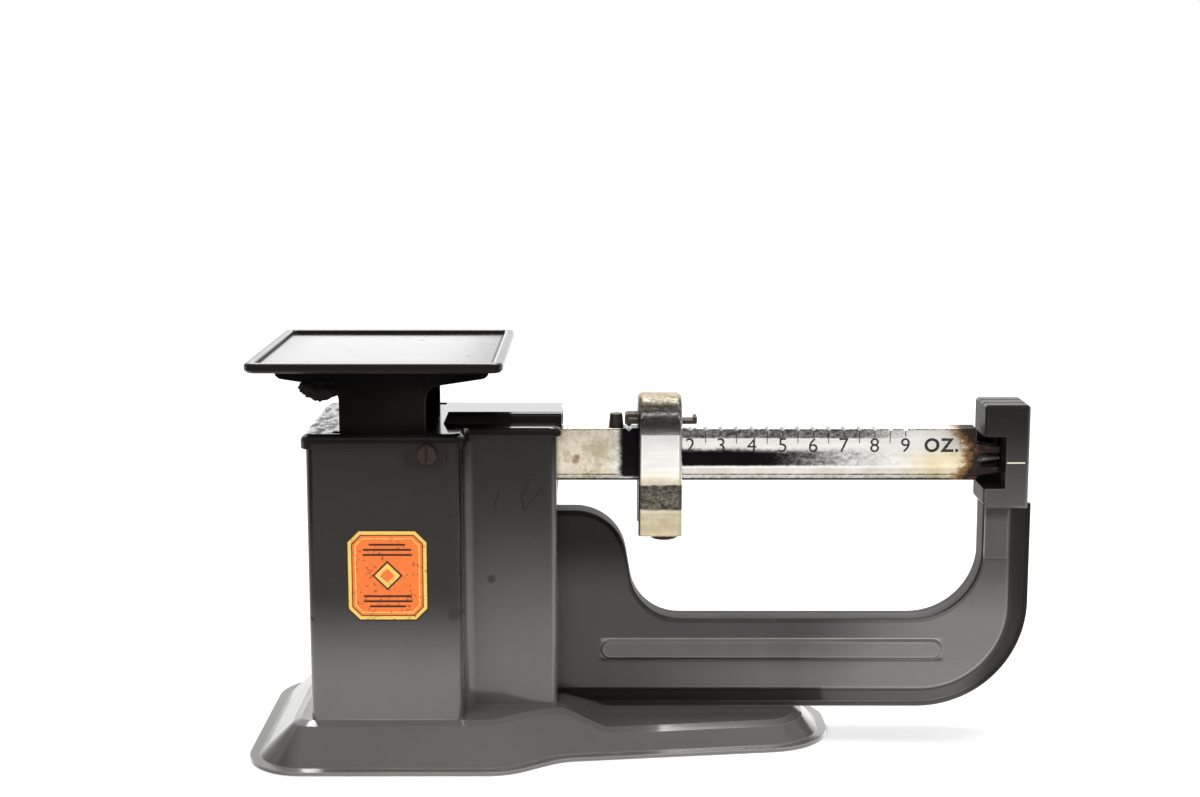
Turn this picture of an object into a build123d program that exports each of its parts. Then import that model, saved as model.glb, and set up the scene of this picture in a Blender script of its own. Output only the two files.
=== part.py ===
from build123d import *
import math
import os

# Letter scale: a steelyard beam with a sliding poise, a tray on a checked stirrup and a pressed sheet frame.
# Lengths in millimetres. X runs along the beam to the index head, Y is depth and Z is up from the table.

# Lever: the load pivot, the fulcrum and the checking link share one arm
FULCRUM_X = -53.4
LOAD_ARM = 12.0
PIVOT_Z = 72.0
CHECK_Z = 24.5
LOAD_X = FULCRUM_X - LOAD_ARM

# Sheet and clearances
SHEET = 1.0
COVER_FIT = 0.25
SLOT_GAP = 0.9
SIDE_GAP = 1.2
SLIDE_GAP = 0.3
PIN_GAP = 0.05
KNIFE_GAP = 0.1
ROCK_GAP = 2.8

# Beam: an inverted channel, its top and bottom set from the pivots
BEAM_ABOVE = 8.7
BEAM_DEEP = 13.6
BEAM_HALF = 2.9
BEAM_SHEET = 1.0
NOTCH_DEPTH = 0.8
BEAM_HIGH = PIVOT_Z + BEAM_ABOVE
BEAM_LOW = BEAM_HIGH - BEAM_DEEP

# Housing: folded sheet, wide round the lever and narrow round the beam
HOUSING_TAIL = 19.4
STEP_AHEAD = 7.0
NARROW_LONG = 23.6
HOUSING_HALF = 23.0
NARROW_HALF = 12.2
HOUSING_BEND_R = 2.4
HOUSING_ABOVE = 1.4
FOOT_TAB_DEEP = 5.5
FOOT_TAB_WIDE = 8.0
FOOT_TAB_INSET = 0.6
BEAM_SLOT_SIDE = 1.5
BEAM_SLOT_DROP = 2.6
HOUSING_LEFT = LOAD_X - HOUSING_TAIL
HOUSING_STEP = FULCRUM_X + STEP_AHEAD
HOUSING_RIGHT = HOUSING_STEP + NARROW_LONG
HOUSING_TOP = BEAM_HIGH + HOUSING_ABOVE

# Base: one pressed dish with a tongue under the arm
BASE_TAIL = 15.7
BASE_SIDE = 13.0
BASE_CORNER_R = 15.0
BASE_TOP = 9.7
BASE_RUN = 10.5
BASE_LIP = 1.4
NECK_AHEAD = 11.9
NECK_LONG = 13.0
NECK_DRAW = 9.2
NECK_R = 16.0
TONGUE_LONG = 69.3
TONGUE_TIP_HALF = 18.0
TONGUE_TIP_R = 17.0
TONGUE_TOP = 5.5
RAMP_AHEAD = 1.5
RAMP_LENGTH = 11.0
RAMP_R = 7.0
BASE_EDGE = 1.3
BASE_LEFT = HOUSING_LEFT - BASE_TAIL
BASE_HALF = HOUSING_HALF + BASE_SIDE
NECK_START = HOUSING_STEP + NECK_AHEAD
NECK_END = NECK_START + NECK_LONG
TONGUE_TIP = NECK_END + TONGUE_LONG

# Cover: pressed cap with a skirt, two screw tabs and a raised tunnel over the beam
COVER_EDGE_R = 2.0
SKIRT = 2.6
NARROW_SKIRT = 1.6
TAB_BACK = 0.85
TAB_HALF = 5.35
TAB_DROP = 7.5
TAB_R = 2.3
TUNNEL_BACK = 6.1
TUNNEL_RISE = 2.7
TUNNEL_HALF = 7.6
TUNNEL_FOOT_HALF = 8.8
TUNNEL_SLOPE = 2.0
COVER_SCREW_BACK = 1.0
COVER_SCREW_DROP = 3.7
COVER_TOP = HOUSING_TOP + SHEET
COVER_SCREW_X = FULCRUM_X - COVER_SCREW_BACK

# Arm: two pressed halves that meet at a lip in the middle plane
ARM_LONG = 123.3
ARM_SHEET = 0.9
ARM_HALF = 4.2
ARM_LIP = 1.5
ARM_LIP_THICK = 0.8
ARM_BEVEL_FACE = 4.9
ARM_BEVEL_DEPTH = 3.3
ARM_OUTER_R = 28.5
BAR_DEEP = 24.9
POST_WIDE = 13.0
POST_DROP = 11.6
WINDOW_R = 18.0
GUSSET_DROP = 12.8
GUSSET_WIDE = 15.9
GUSSET_R = 13.5
GUSSET_LEAN = 4.9
GUSSET_FOOT_R = 13.0
ARM_EDGE_R = 1.2
RIB_START = 11.0
RIB_END = 22.6
RIB_ABOVE = 13.9
RIB_DEEP = 5.6
RIB_RAISE = 0.8
ARM_BLOCK_LONG = 6.0
ARM_BLOCK_HALF = 11.0
ARM_BLOCK_ABOVE = 33.5
ARM_LOW = TONGUE_TOP
ARM_RIGHT = HOUSING_RIGHT + ARM_LONG
BAR_TOP = ARM_LOW + BAR_DEEP
POST_LEFT = ARM_RIGHT - POST_WIDE
POST_TOP = PIVOT_Z - POST_DROP
GUSSET_TOP = PIVOT_Z - GUSSET_DROP
GUSSET_X = HOUSING_RIGHT + GUSSET_WIDE
GUSSET_FOOT_X = GUSSET_X + GUSSET_LEAN

# Index head on the arm's post, and the forked beam end that plays in its notch
HEAD_OVERHANG = 0.7
HEAD_SHY = 2.1
HEAD_HALF = 6.5
HEAD_ABOVE = 15.4
HEAD_WALL = 6.0
HEAD_TOE_R = 1.8
HEAD_EDGE = 0.6
HEAD_TONGUE_LONG = 13.5
HEAD_TONGUE_THICK = 0.9
HEAD_GROOVE = 0.5
FORK_ABOVE = 0.4
FORK_HALF = 4.0
FORK_SLOT = 3.8
FORK_SHY = 1.0
BEAM_END_GAP = 1.5
POINTER_LONG = 14.8
HEAD_LEFT = POST_LEFT - HEAD_OVERHANG
HEAD_RIGHT = ARM_RIGHT - HEAD_SHY
HEAD_TOP = PIVOT_Z + HEAD_ABOVE
INDEX_Z = PIVOT_Z + FORK_ABOVE
NOTCH_RIGHT = HEAD_RIGHT - HEAD_WALL
NOTCH_LOW = INDEX_Z - FORK_HALF - ROCK_GAP
NOTCH_HIGH = INDEX_Z + FORK_HALF + ROCK_GAP
BEAM_RIGHT = HEAD_LEFT - BEAM_END_GAP
FORK_END = NOTCH_RIGHT - FORK_SHY
POINTER_TIP = NOTCH_RIGHT - SLIDE_GAP

# Graduation of the beam
OUNCE_STEP = 7.9375
OUNCES = 9
NOTCHES_PER_OUNCE = 2
ZERO_AHEAD = 18.45
ZERO_X = HOUSING_RIGHT + ZERO_AHEAD

# Knives and their bearings
KNIFE_HALF = 2.0
KNIFE_DEPTH = 5.0
KNIFE_ANGLE = 60.0
BEARING_HALF = 3.5
BEARING_DEPTH = 5.0
GROOVE_DEPTH = 1.5
GROOVE_ANGLE = 120.0

# Tray, saddle and stirrup
TRAY_BACK = 1.3
TRAY_SIDE = 62.8
TRAY_ABOVE = 19.9
TRAY_RIM = 2.6
TRAY_RIM_HIGH = 2.4
TRAY_RECESS = 0.9
TRAY_CORNER_R = 3.0
SADDLE_BACK = 0.3
SADDLE_HALF = 26.5
SADDLE_LEG_HALF = 10.7
SADDLE_SHEET = 1.2
WING_TIP_DEEP = 3.3
WING_ROOT_DEEP = 5.7
WING_ROOT_R = 4.0
LEG_DROP = 11.0
STIRRUP_HALF = 4.5
STIRRUP_DROP = 2.5
STIRRUP_BELOW = 4.5
STIRRUP_BEND_R = 2.5
RIVET_DROP = 6.8
RIVET_R = 0.9
RIVET_PITCH = 5.2
RIVET_HEAD = 0.5
TRAY_X = LOAD_X - TRAY_BACK
TRAY_TOP = HOUSING_TOP + TRAY_ABOVE
SADDLE_X = LOAD_X - SADDLE_BACK
SADDLE_TOP = TRAY_TOP - TRAY_RECESS - SHEET
SADDLE_OUTER = HOUSING_HALF - SHEET - SIDE_GAP
SADDLE_INNER = SADDLE_OUTER - SADDLE_SHEET
STIRRUP_LOW = CHECK_Z - STIRRUP_BELOW

# Stand under the fulcrum, and the checking link
STAND_HALF = 4.6
STAND_OUTER = 13.5
STAND_SHEET = 1.5
STAND_SHELF = 4.0
STAND_BEND_R = 2.0
STAND_SCREW_Y = 7.4
LINK_PIN_R = 1.25
LINK_PIN_HEAD = 0.8
LINK_HUB_R = 3.0
LINK_EAR_OUTER = 5.8
LINK_EAR = 1.2
LINK_PLATE_HALF = 3.6
LINK_PLATE_THICK = 2.4

# Counterweight on the beam's tail, with a nut that sets zero
WEIGHT_ABOVE_LINK = 3.1
WEIGHT_LID_GAP = 0.8
WEIGHT_SIDE_GAP = 1.1
WEIGHT_EDGE_R = 2.0
TAIL_HOLD = 8.0
BALANCE_ABOVE_LINK = 9.5
BALANCE_SCREW_R = 1.5
BALANCE_SCREW_LONG = 13.0
BALANCE_SCREW_HOLD = 5.0
BALANCE_NUT_R = 4.0
BALANCE_NUT_THICK = 2.0
WEIGHT_LEFT = HOUSING_LEFT + SHEET + WEIGHT_SIDE_GAP
WEIGHT_RIGHT = LOAD_X - BEARING_HALF - SIDE_GAP
WEIGHT_HALF = SADDLE_INNER - 2 * SADDLE_SHEET - SLIDE_GAP
WEIGHT_LOW = CHECK_Z + WEIGHT_ABOVE_LINK
WEIGHT_HIGH = HOUSING_TOP - WEIGHT_LID_GAP
BALANCE_Z = CHECK_Z + BALANCE_ABOVE_LINK
BEAM_LEFT = WEIGHT_RIGHT - TAIL_HOLD

# Poise: a plated strap round a weight, with a leaf pawl and a plug
POISE_AHEAD = 2.4
POISE_WIDTH = 11.2
POISE_HALF = 9.5
POISE_ABOVE = 9.0
POISE_BELOW = 13.3
POISE_STRAP = 2.6
POISE_EDGE_R = 1.3
WEIGHT_INSET = 0.2
WEIGHT_RAISE = 1.2
CAVITY_R = 3.0
CAVITY_HIGH = 7.0
PLUG_R = 3.8
PLUG_SHIFT = 1.2
PLUG_LONG = 5.5
PLUG_SHOWS = 2.5
PAWL_FINGER = 3.4
PAWL_TAB = 4.0
PAWL_HALF = 2.4
PAWL_THICK = 0.9
PAWL_TOOTH = 0.8
PAWL_GAPE = 1.7
PAWL_RIVET_R = 0.9
POISE_LEFT = ZERO_X + POISE_AHEAD
POISE_RIGHT = POISE_LEFT + POISE_WIDTH
POISE_TOP = BEAM_HIGH + POISE_ABOVE
POISE_LOW = BEAM_LOW - POISE_BELOW
PAWL_LEFT = POISE_LEFT - PAWL_FINGER
PAWL_LOW = BEAM_HIGH + SLIDE_GAP + PAWL_TOOTH
PAWL_HIGH = PAWL_LOW + PAWL_GAPE + PAWL_THICK

# Stud that stops the poise at zero
STUD_R = 1.95
STUD_TOP_R = 1.6
STUD_HIGH = 3.5
STUD_SLOT = 0.6
STUD_X = PAWL_LEFT - SLIDE_GAP - STUD_R

# Slotted screws
SCREW_R = 1.1
SCREW_HEAD_R = 2.3
SCREW_HEAD_HIGH = 1.3
COVER_SCREW_HEAD_R = 2.5
SCREW_GRIP = 2.4


def block(x0, x1, y0, y1, z0, z1):
    """A box between two corners."""
    centre = Pos((x0 + x1) / 2, (y0 + y1) / 2, (z0 + z1) / 2)
    return centre * Box(x1 - x0, y1 - y0, z1 - z0)


def rod(radius, start, end):
    """A round bar from one point to another."""
    start, end = Vector(*start), Vector(*end)
    plane = Plane(origin=start, z_dir=end - start)
    return extrude(plane * Circle(radius), (end - start).length)


def side_profile(points, y0, y1, radii=0.0):
    """A closed outline in X and Z, given its depth from y0 to y1."""
    line = FilletPolyline(*points, radius=radii, close=True) if radii else Polyline(*points, close=True)
    face = Plane.XZ * make_face(line)
    return Pos(0, y1, 0) * extrude(face, y1 - y0)


def both_sides(shape):
    """The shape and its mirror image across the middle plane."""
    return [shape, mirror(shape, Plane.XZ)]


def joined(shapes):
    """Separate solids of one sub-part, kept in one compound."""
    return Compound(children=[solid for shape in shapes for solid in shape.solids()])


def screw(at, towards, grip, head_r=SCREW_HEAD_R):
    """A slotted screw: at is the seat of its head, towards the way its shank runs, and grip its length."""
    plane = Plane(origin=Vector(*at), z_dir=Vector(*towards))
    head = extrude(plane * Circle(head_r), -SCREW_HEAD_HIGH)
    head = chamfer(head.edges().group_by(Axis(plane.origin, plane.z_dir))[0], 0.3 * SCREW_HEAD_HIGH)
    slot = plane * Pos(0, 0, -SCREW_HEAD_HIGH) * Box(3 * head_r, 0.3 * head_r, 0.9 * SCREW_HEAD_HIGH)
    return head - slot + extrude(plane * Circle(SCREW_R), grip)


def screws(seats, head_r=SCREW_HEAD_R):
    """Equal screws at several seats, kept as one sub-part."""
    return joined([screw(*seat, head_r) for seat in seats])


def drilled(shape, seats):
    """The shape with a hole for the shank of each screw."""
    for at, towards, grip in seats:
        start, way = Vector(*at), Vector(*towards)
        shape -= rod(SCREW_R, start - way * grip, start + way * (grip + SLIDE_GAP))
    return shape


def drawn_in(points, distance):
    """A polygon, given anticlockwise, with every side moved inwards by the same distance."""
    count = len(points)
    inner = []
    for i, corner in enumerate(points):
        before, after = Vector(*points[i - 1]), Vector(*points[(i + 1) % count])
        here = Vector(*corner)
        way_in, way_out = (here - before).normalized(), (after - here).normalized()
        normal_in, normal_out = Vector(-way_in.Y, way_in.X), Vector(-way_out.Y, way_out.X)
        moved = here + (normal_in + normal_out) * (distance / (1 + normal_in.dot(normal_out)))
        inner.append((moved.X, moved.Y))
    return inner


def base_outline(inset):
    """The dish's plan, drawn in by the same amount all round."""
    near = [(BASE_LEFT, -BASE_HALF), (NECK_START, -BASE_HALF), (NECK_END, NECK_DRAW - BASE_HALF),
            (TONGUE_TIP, -TONGUE_TIP_HALF)]
    plan = near + [(x, -y) for x, y in reversed(near)]
    radii = [BASE_CORNER_R - inset, NECK_R - inset, NECK_R + inset, TONGUE_TIP_R - inset]
    return make_face(FilletPolyline(*drawn_in(plan, inset), radius=radii + radii[::-1], close=True))


def ramp_cut(drop):
    """What is taken off above the tongue, where the dish comes down from the housing's seat."""
    high, low = BASE_TOP - drop, TONGUE_TOP - drop
    start = HOUSING_RIGHT + RAMP_AHEAD
    back = start - RAMP_LENGTH
    points = [(back, high), (start, high), (start + RAMP_LENGTH, low), (TONGUE_TIP, low),
              (TONGUE_TIP, high + 1), (back, high + 1)]
    return side_profile(points, -BASE_HALF, BASE_HALF, [0, RAMP_R, RAMP_R, 0, 0, 0])


def dish(inset, drop):
    """The filled form of the dish: its sloped side and its two levels."""
    foot = BASE_LIP + inset
    high = Pos(0, 0, BASE_TOP - drop) * base_outline(foot + BASE_RUN)
    return loft([base_outline(foot), high], ruled=True) - ramp_cut(drop)


def make_base():
    """Pressed dish: open underneath, with a sloped side and a flat lip that rests on the table."""
    outside = dish(0, 0)
    rims = [e for e in outside.edges() if e.bounding_box().min.Z > 0.5 * TONGUE_TOP and abs(e.center().Y) > 1]
    outside = chamfer(rims, BASE_EDGE)
    return outside + extrude(base_outline(0), SHEET) - dish(SHEET, SHEET)


def housing_outline(grow):
    """The stepped plan of the housing, grown outwards all round."""
    near = [(HOUSING_LEFT, -HOUSING_HALF), (HOUSING_STEP, -HOUSING_HALF), (HOUSING_STEP, -NARROW_HALF),
            (HOUSING_RIGHT, -NARROW_HALF)]
    plan = near + [(x, -y) for x, y in reversed(near)]
    outside, inside = max(HOUSING_BEND_R + grow, 0.3), max(HOUSING_BEND_R - grow, 0.3)
    radii = [outside, outside, inside, outside]
    return make_face(FilletPolyline(*drawn_in(plan, -grow), radius=radii + radii[::-1], close=True))


def foot_tabs():
    """Middles of the four tabs that fold in at the housing's foot, and the way that each runs."""
    inset = HOUSING_BEND_R + FOOT_TAB_INSET + 0.5 * FOOT_TAB_WIDE
    reach = 0.5 * (SHEET + FOOT_TAB_DEEP)
    ends = [(HOUSING_LEFT + reach, side * (HOUSING_HALF - inset), True) for side in (1, -1)]
    return ends + [(HOUSING_RIGHT - inset, side * (NARROW_HALF - reach), False) for side in (1, -1)]


def make_housing():
    """Folded sheet box: open at the top, with foot tabs turned in and a slot for the beam."""
    shell = extrude(housing_outline(0) - housing_outline(-SHEET), HOUSING_TOP - BASE_TOP)
    for x, y, at_end in foot_tabs():
        deep, wide = 0.5 * (FOOT_TAB_DEEP - SHEET) + 0.5 * SHEET, 0.5 * FOOT_TAB_WIDE
        dx, dy = (deep, wide) if at_end else (wide, deep)
        shell += block(x - dx, x + dx, y - dy, y + dy, 0, SHEET)
    slot_half = BEAM_HALF + BEAM_SLOT_SIDE
    slot = block(HOUSING_RIGHT - 2 * SHEET, HOUSING_RIGHT + SHEET, -slot_half, slot_half,
                 BEAM_LOW - BEAM_SLOT_DROP, HOUSING_TOP + SHEET)
    return Pos(0, 0, BASE_TOP) * shell - slot


def tab_plate(y0, y1):
    """One screw tab of the cover's skirt."""
    low, high = COVER_TOP - TAB_DROP - SHEET, COVER_TOP - 2 * SHEET
    middle = COVER_SCREW_X - TAB_BACK
    left, right = middle - TAB_HALF, middle + TAB_HALF
    points = [(left, low), (right, low), (right, high), (left, high)]
    return side_profile(points, y0, y1, [TAB_R, TAB_R, 0, 0])


def tunnel_form(inset, right):
    """The raised tunnel over the beam, with sloped sides and a sloped closed end."""
    foot, crown = COVER_TOP - 2 * SHEET, COVER_TOP + TUNNEL_RISE - inset
    lean = (TUNNEL_FOOT_HALF - TUNNEL_HALF) / TUNNEL_RISE
    half_foot = TUNNEL_FOOT_HALF - inset + lean * 2 * SHEET
    half_crown = TUNNEL_HALF - inset
    section = Plane.YZ * make_face(Polyline((-half_foot, foot), (half_foot, foot), (half_crown, crown),
                                            (-half_crown, crown), close=True))
    left = HOUSING_STEP - TUNNEL_BACK + inset
    form = Pos(left, 0, 0) * extrude(section, right - left)
    toe = [(left - 1, foot - 1), (left, foot), (left + TUNNEL_SLOPE, crown), (left + 1, crown + 1),
           (left - 1, crown + 1)]
    return form - side_profile(toe, -BASE_HALF, BASE_HALF)


def make_cover():
    """Pressed cap: rounded skirt, a screw tab front and back, leg slots and the beam tunnel."""
    outer = COVER_FIT + SHEET
    right = HOUSING_RIGHT + outer
    skirt_low = HOUSING_TOP - SKIRT
    cap = Pos(0, 0, skirt_low) * extrude(housing_outline(outer), COVER_TOP - skirt_low)
    cap = fillet(cap.faces().sort_by(Axis.Z)[-1].edges(), COVER_EDGE_R)
    tunnel = tunnel_form(0, right)
    ridge = tunnel.faces().sort_by(Axis.Z)[-1].edges().filter_by(Axis.X)
    cap += fillet(ridge, 0.6 * TUNNEL_RISE)
    wall = HOUSING_HALF + COVER_FIT
    for tab in both_sides(tab_plate(wall, wall + SHEET)):
        cap += tab
    low = HOUSING_TOP - TAB_DROP - SHEET
    cap -= Pos(0, 0, low) * extrude(housing_outline(COVER_FIT), HOUSING_TOP - low)
    cap -= tunnel_form(SHEET, right + SHEET)
    past = HOUSING_STEP + outer + COVER_EDGE_R
    cap -= block(past, right + SHEET, -BASE_HALF, BASE_HALF, low, HOUSING_TOP - NARROW_SKIRT)
    mouth = BEAM_HALF + BEAM_SLOT_SIDE
    cap -= block(right - 3 * SHEET, right + SHEET, -mouth, mouth, low, COVER_TOP)
    reach = SADDLE_LEG_HALF + 2 * SLOT_GAP
    leg_slot = block(SADDLE_X - reach, SADDLE_X + reach, SADDLE_INNER - SLOT_GAP, SADDLE_OUTER + SLOT_GAP,
                     low, COVER_TOP + 1)
    for slot in both_sides(leg_slot):
        cap -= slot
    return cap


def cover_screw_seats():
    """Seats of the screws through the cover's tabs into the housing, front and back."""
    seat, z = HOUSING_HALF + COVER_FIT + SHEET, HOUSING_TOP - COVER_SCREW_DROP
    return [((COVER_SCREW_X, -side * seat, z), (0, side, 0), SCREW_GRIP) for side in (1, -1)]


def housing_screw_seats():
    """Seats of the screws up through the base into the housing's foot tabs."""
    return [((x, y, BASE_TOP - SHEET), (0, 0, 1), SCREW_GRIP + SHEET) for x, y, at_end in foot_tabs()]


def arm_outline(outer_in, inner_in, end_in):
    """The arm's side outline: drawn in along the outer edge, the window edge and the housing end."""
    left = HOUSING_RIGHT + end_in
    low = ARM_LOW + outer_in
    right = ARM_RIGHT - outer_in
    points = [(left, low), (right, low), (right, POST_TOP), (POST_LEFT + inner_in, POST_TOP),
              (POST_LEFT + inner_in, BAR_TOP - inner_in), (GUSSET_FOOT_X - inner_in, BAR_TOP - inner_in),
              (GUSSET_X - inner_in, GUSSET_TOP - inner_in), (left, GUSSET_TOP - inner_in)]
    radii = [0, ARM_OUTER_R - outer_in, 0, 0, WINDOW_R + inner_in, GUSSET_FOOT_R + inner_in,
             GUSSET_R - inner_in, 0]
    return Plane.XZ * make_face(FilletPolyline(*points, radius=radii, close=True))


def arm_shell_form(inset):
    """One half of the arm as a filled form: a bevelled outer edge and a flat web."""
    lip = ARM_LIP + inset
    wall = ARM_HALF - ARM_BEVEL_DEPTH
    fold = Pos(0, -wall, 0) * arm_outline(lip, inset, inset)
    web = Pos(0, inset - ARM_HALF, 0) * arm_outline(lip + ARM_BEVEL_FACE, inset, inset)
    return extrude(arm_outline(lip, inset, inset), wall) + loft([fold, web], ruled=True)


def make_arm_front():
    """Front half: web, bevelled flange, middle lip and an embossed rib, all of one sheet."""
    form = arm_shell_form(0)
    web = form.faces().sort_by(Axis.Y)[0]
    inner = [e for e in web.edges() if is_window_edge(e)]
    form = fillet(inner, ARM_EDGE_R)
    rib_left, rib_right = HOUSING_RIGHT + RIB_START, ARM_RIGHT - RIB_END
    rib_long = rib_right - rib_left
    rib_plane = Plane.XZ * Pos(0.5 * (rib_left + rib_right), ARM_LOW + RIB_ABOVE + 0.5 * RIB_DEEP, ARM_HALF)
    rib = extrude(rib_plane * SlotOverall(rib_long, RIB_DEEP), RIB_RAISE, taper=45)
    bed = rib_plane * SlotOverall(rib_long - 2 * ARM_SHEET, RIB_DEEP - 2 * ARM_SHEET)
    form = form + rib - Pos(0, ARM_SHEET, 0) * extrude(bed, RIB_RAISE)
    form += extrude(arm_outline(0, 0, 0), ARM_LIP_THICK)
    return form - arm_shell_form(ARM_SHEET) - dish(0, 0)


def is_window_edge(edge):
    """True for the edges of the web along the window and the gusset's top."""
    centre = edge.center()
    along_bar = BAR_TOP - 1 < centre.Z and GUSSET_X - 1 < centre.X < POST_LEFT + 1
    along_top = abs(centre.Z - GUSSET_TOP) < 0.1 and centre.X < GUSSET_X
    return along_bar or along_top


def make_arm_end():
    """The block between the halves that takes the screws from inside the housing."""
    half = ARM_HALF - ARM_SHEET
    left = HOUSING_RIGHT + ARM_SHEET
    middle = ARM_LOW + ARM_BLOCK_ABOVE
    return block(left, left + ARM_BLOCK_LONG, -half, half, middle - ARM_BLOCK_HALF, middle + ARM_BLOCK_HALF)


def arm_screw_seats():
    """Seats of the screws from inside the housing, through its wall and the arm's end."""
    middle, spread = ARM_LOW + ARM_BLOCK_ABOVE, 0.5 * ARM_BLOCK_HALF
    x = HOUSING_RIGHT - SHEET
    return [((x, 0, z), (1, 0, 0), ARM_BLOCK_LONG) for z in (middle - spread, middle + spread)]


def make_guide_head():
    """Index head: a block with a notch for the beam's end, closed behind, and two tongues on the post."""
    head = block(HEAD_LEFT, HEAD_RIGHT, -HEAD_HALF, HEAD_HALF, POST_TOP, HEAD_TOP)
    foot = head.faces().sort_by(Axis.Z)[0]
    head = fillet(foot.edges().filter_by(Axis.Y).sort_by(Axis.X)[0], HEAD_TOE_R)
    head = chamfer(head.edges().filter_by(Axis.Z) + head.faces().sort_by(Axis.Z)[-1].edges(), HEAD_EDGE)
    past = HEAD_HALF + 1
    head -= block(HEAD_LEFT - 1, NOTCH_RIGHT, -past, BEAM_HALF + SLOT_GAP, NOTCH_LOW, NOTCH_HIGH)
    for groove in both_sides(block(HEAD_LEFT - 1, HEAD_RIGHT + 1, 0.28 * HEAD_HALF, 0.38 * HEAD_HALF,
                                   HEAD_TOP - HEAD_GROOVE, HEAD_TOP + 1)):
        head -= groove
    half = 0.4 * HEAD_GROOVE
    line_low, line_high = INDEX_Z - half, INDEX_Z + half
    head -= block(NOTCH_RIGHT - 1, HEAD_RIGHT - 2 * half, -past, half - HEAD_HALF, line_low, line_high)
    web_right = ARM_RIGHT - ARM_LIP - ARM_BEVEL_FACE
    tongue = block(POST_LEFT + SLIDE_GAP, web_right - SLIDE_GAP, ARM_HALF, ARM_HALF + HEAD_TONGUE_THICK,
                   POST_TOP - HEAD_TONGUE_LONG, POST_TOP + 0.5)
    for strap in both_sides(tongue):
        head += strap
    return head


def knife_profile(x, edge_up):
    """A knife's pointed section, its edge on the pivot line."""
    way = -1 if edge_up else 1
    shoulder = KNIFE_HALF / math.tan(math.radians(0.5 * KNIFE_ANGLE))
    half = [(0, 0), (KNIFE_HALF, way * shoulder), (KNIFE_HALF, way * KNIFE_DEPTH)]
    points = half + [(-px, pz) for px, pz in reversed(half[1:])]
    return [(x + px, PIVOT_Z + pz) for px, pz in points]


def make_fulcrum_knife():
    """Hardened knife pressed through the beam, edge down."""
    reach = STAND_OUTER - SLIDE_GAP
    return side_profile(knife_profile(FULCRUM_X, False), -reach, reach)


def make_load_knife():
    """Hardened knife pressed through the beam, edge up, that carries the tray."""
    reach = SADDLE_INNER - SIDE_GAP
    return side_profile(knife_profile(LOAD_X, True), -reach, reach)


def grooved_block(x, y0, y1, way):
    """A bearing block whose groove runs round the knife's edge. way is 1 when the groove opens upwards."""
    apex = PIVOT_Z - way * KNIFE_GAP
    mouth = apex + way * GROOVE_DEPTH
    back = apex - way * (BEARING_DEPTH - GROOVE_DEPTH)
    spread = GROOVE_DEPTH * math.tan(math.radians(0.5 * GROOVE_ANGLE))
    points = [(x - BEARING_HALF, back), (x + BEARING_HALF, back), (x + BEARING_HALF, mouth),
              (x + spread, mouth), (x, apex), (x - spread, mouth), (x - BEARING_HALF, mouth)]
    return side_profile(points, y0, y1)


def make_fulcrum_bearings():
    """Two grooved blocks on the stand's shelves."""
    return both_sides(grooved_block(FULCRUM_X, STAND_OUTER - STAND_SHELF, STAND_OUTER, 1))


def make_load_bearings():
    """Two grooved blocks inside the saddle's legs that hang on the load knife."""
    return both_sides(grooved_block(LOAD_X, SADDLE_INNER - BEARING_DEPTH, SADDLE_INNER, -1))


def make_stand():
    """Bent strip on the base: a foot, two uprights and two shelves for the bearings."""
    shelf = PIVOT_Z - KNIFE_GAP - (BEARING_DEPTH - GROOVE_DEPTH)
    x0, x1 = FULCRUM_X - STAND_HALF, FULCRUM_X + STAND_HALF
    inner, inner_r = STAND_OUTER - STAND_SHEET, STAND_BEND_R - STAND_SHEET
    ring = cross_outline(STAND_OUTER, BASE_TOP, shelf, STAND_BEND_R, STAND_BEND_R)
    ring -= cross_outline(inner, BASE_TOP + STAND_SHEET, shelf - STAND_SHEET, inner_r, inner_r)
    strip = Pos(x0, 0, 0) * extrude(Plane.YZ * ring, x1 - x0)
    gap = STAND_OUTER - STAND_SHELF
    strip -= block(x0 - 1, x1 + 1, -gap, gap, shelf - 2 * STAND_SHEET, shelf + 1)
    return strip - rod(LINK_PIN_R, (FULCRUM_X, -BASE_HALF, CHECK_Z), (FULCRUM_X, BASE_HALF, CHECK_Z))


def cross_outline(half, low, high, low_r, high_r):
    """A closed outline across the beam with rounded lower and upper corners."""
    corners = [(-half, low), (half, low), (half, high), (-half, high)]
    return make_face(FilletPolyline(*corners, radius=[low_r, low_r, high_r, high_r], close=True))


def stand_screw_seats():
    """Seats of the screws up through the base into the stand's foot."""
    z, grip = BASE_TOP - SHEET, SCREW_GRIP + SHEET
    return [((FULCRUM_X, side * STAND_SCREW_Y, z), (0, 0, 1), grip) for side in (1, -1)]


def headed_pin(x, reach):
    """A cross pin with a small head at each end."""
    pin = rod(LINK_PIN_R, (x, -reach, CHECK_Z), (x, reach, CHECK_Z))
    for head in both_sides(rod(1.6 * LINK_PIN_R, (x, reach, CHECK_Z), (x, reach + LINK_PIN_HEAD, CHECK_Z))):
        pin += head
    return pin


def make_check_link():
    """Short link that keeps the tray upright: two hubs joined by a plate."""
    anchor_reach = STAND_OUTER - STAND_SHEET - SLIDE_GAP
    stem_reach = LINK_EAR_OUTER - LINK_EAR - SLIDE_GAP
    link = rod(LINK_HUB_R, (FULCRUM_X, -anchor_reach, CHECK_Z), (FULCRUM_X, anchor_reach, CHECK_Z))
    link += rod(LINK_HUB_R, (LOAD_X, -stem_reach, CHECK_Z), (LOAD_X, stem_reach, CHECK_Z))
    half = 0.5 * LINK_PLATE_THICK
    link += block(LOAD_X, FULCRUM_X, -LINK_PLATE_HALF, LINK_PLATE_HALF, CHECK_Z - half, CHECK_Z + half)
    for x in (LOAD_X, FULCRUM_X):
        link -= rod(LINK_PIN_R + PIN_GAP, (x, -BASE_HALF, CHECK_Z), (x, BASE_HALF, CHECK_Z))
    return link


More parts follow.
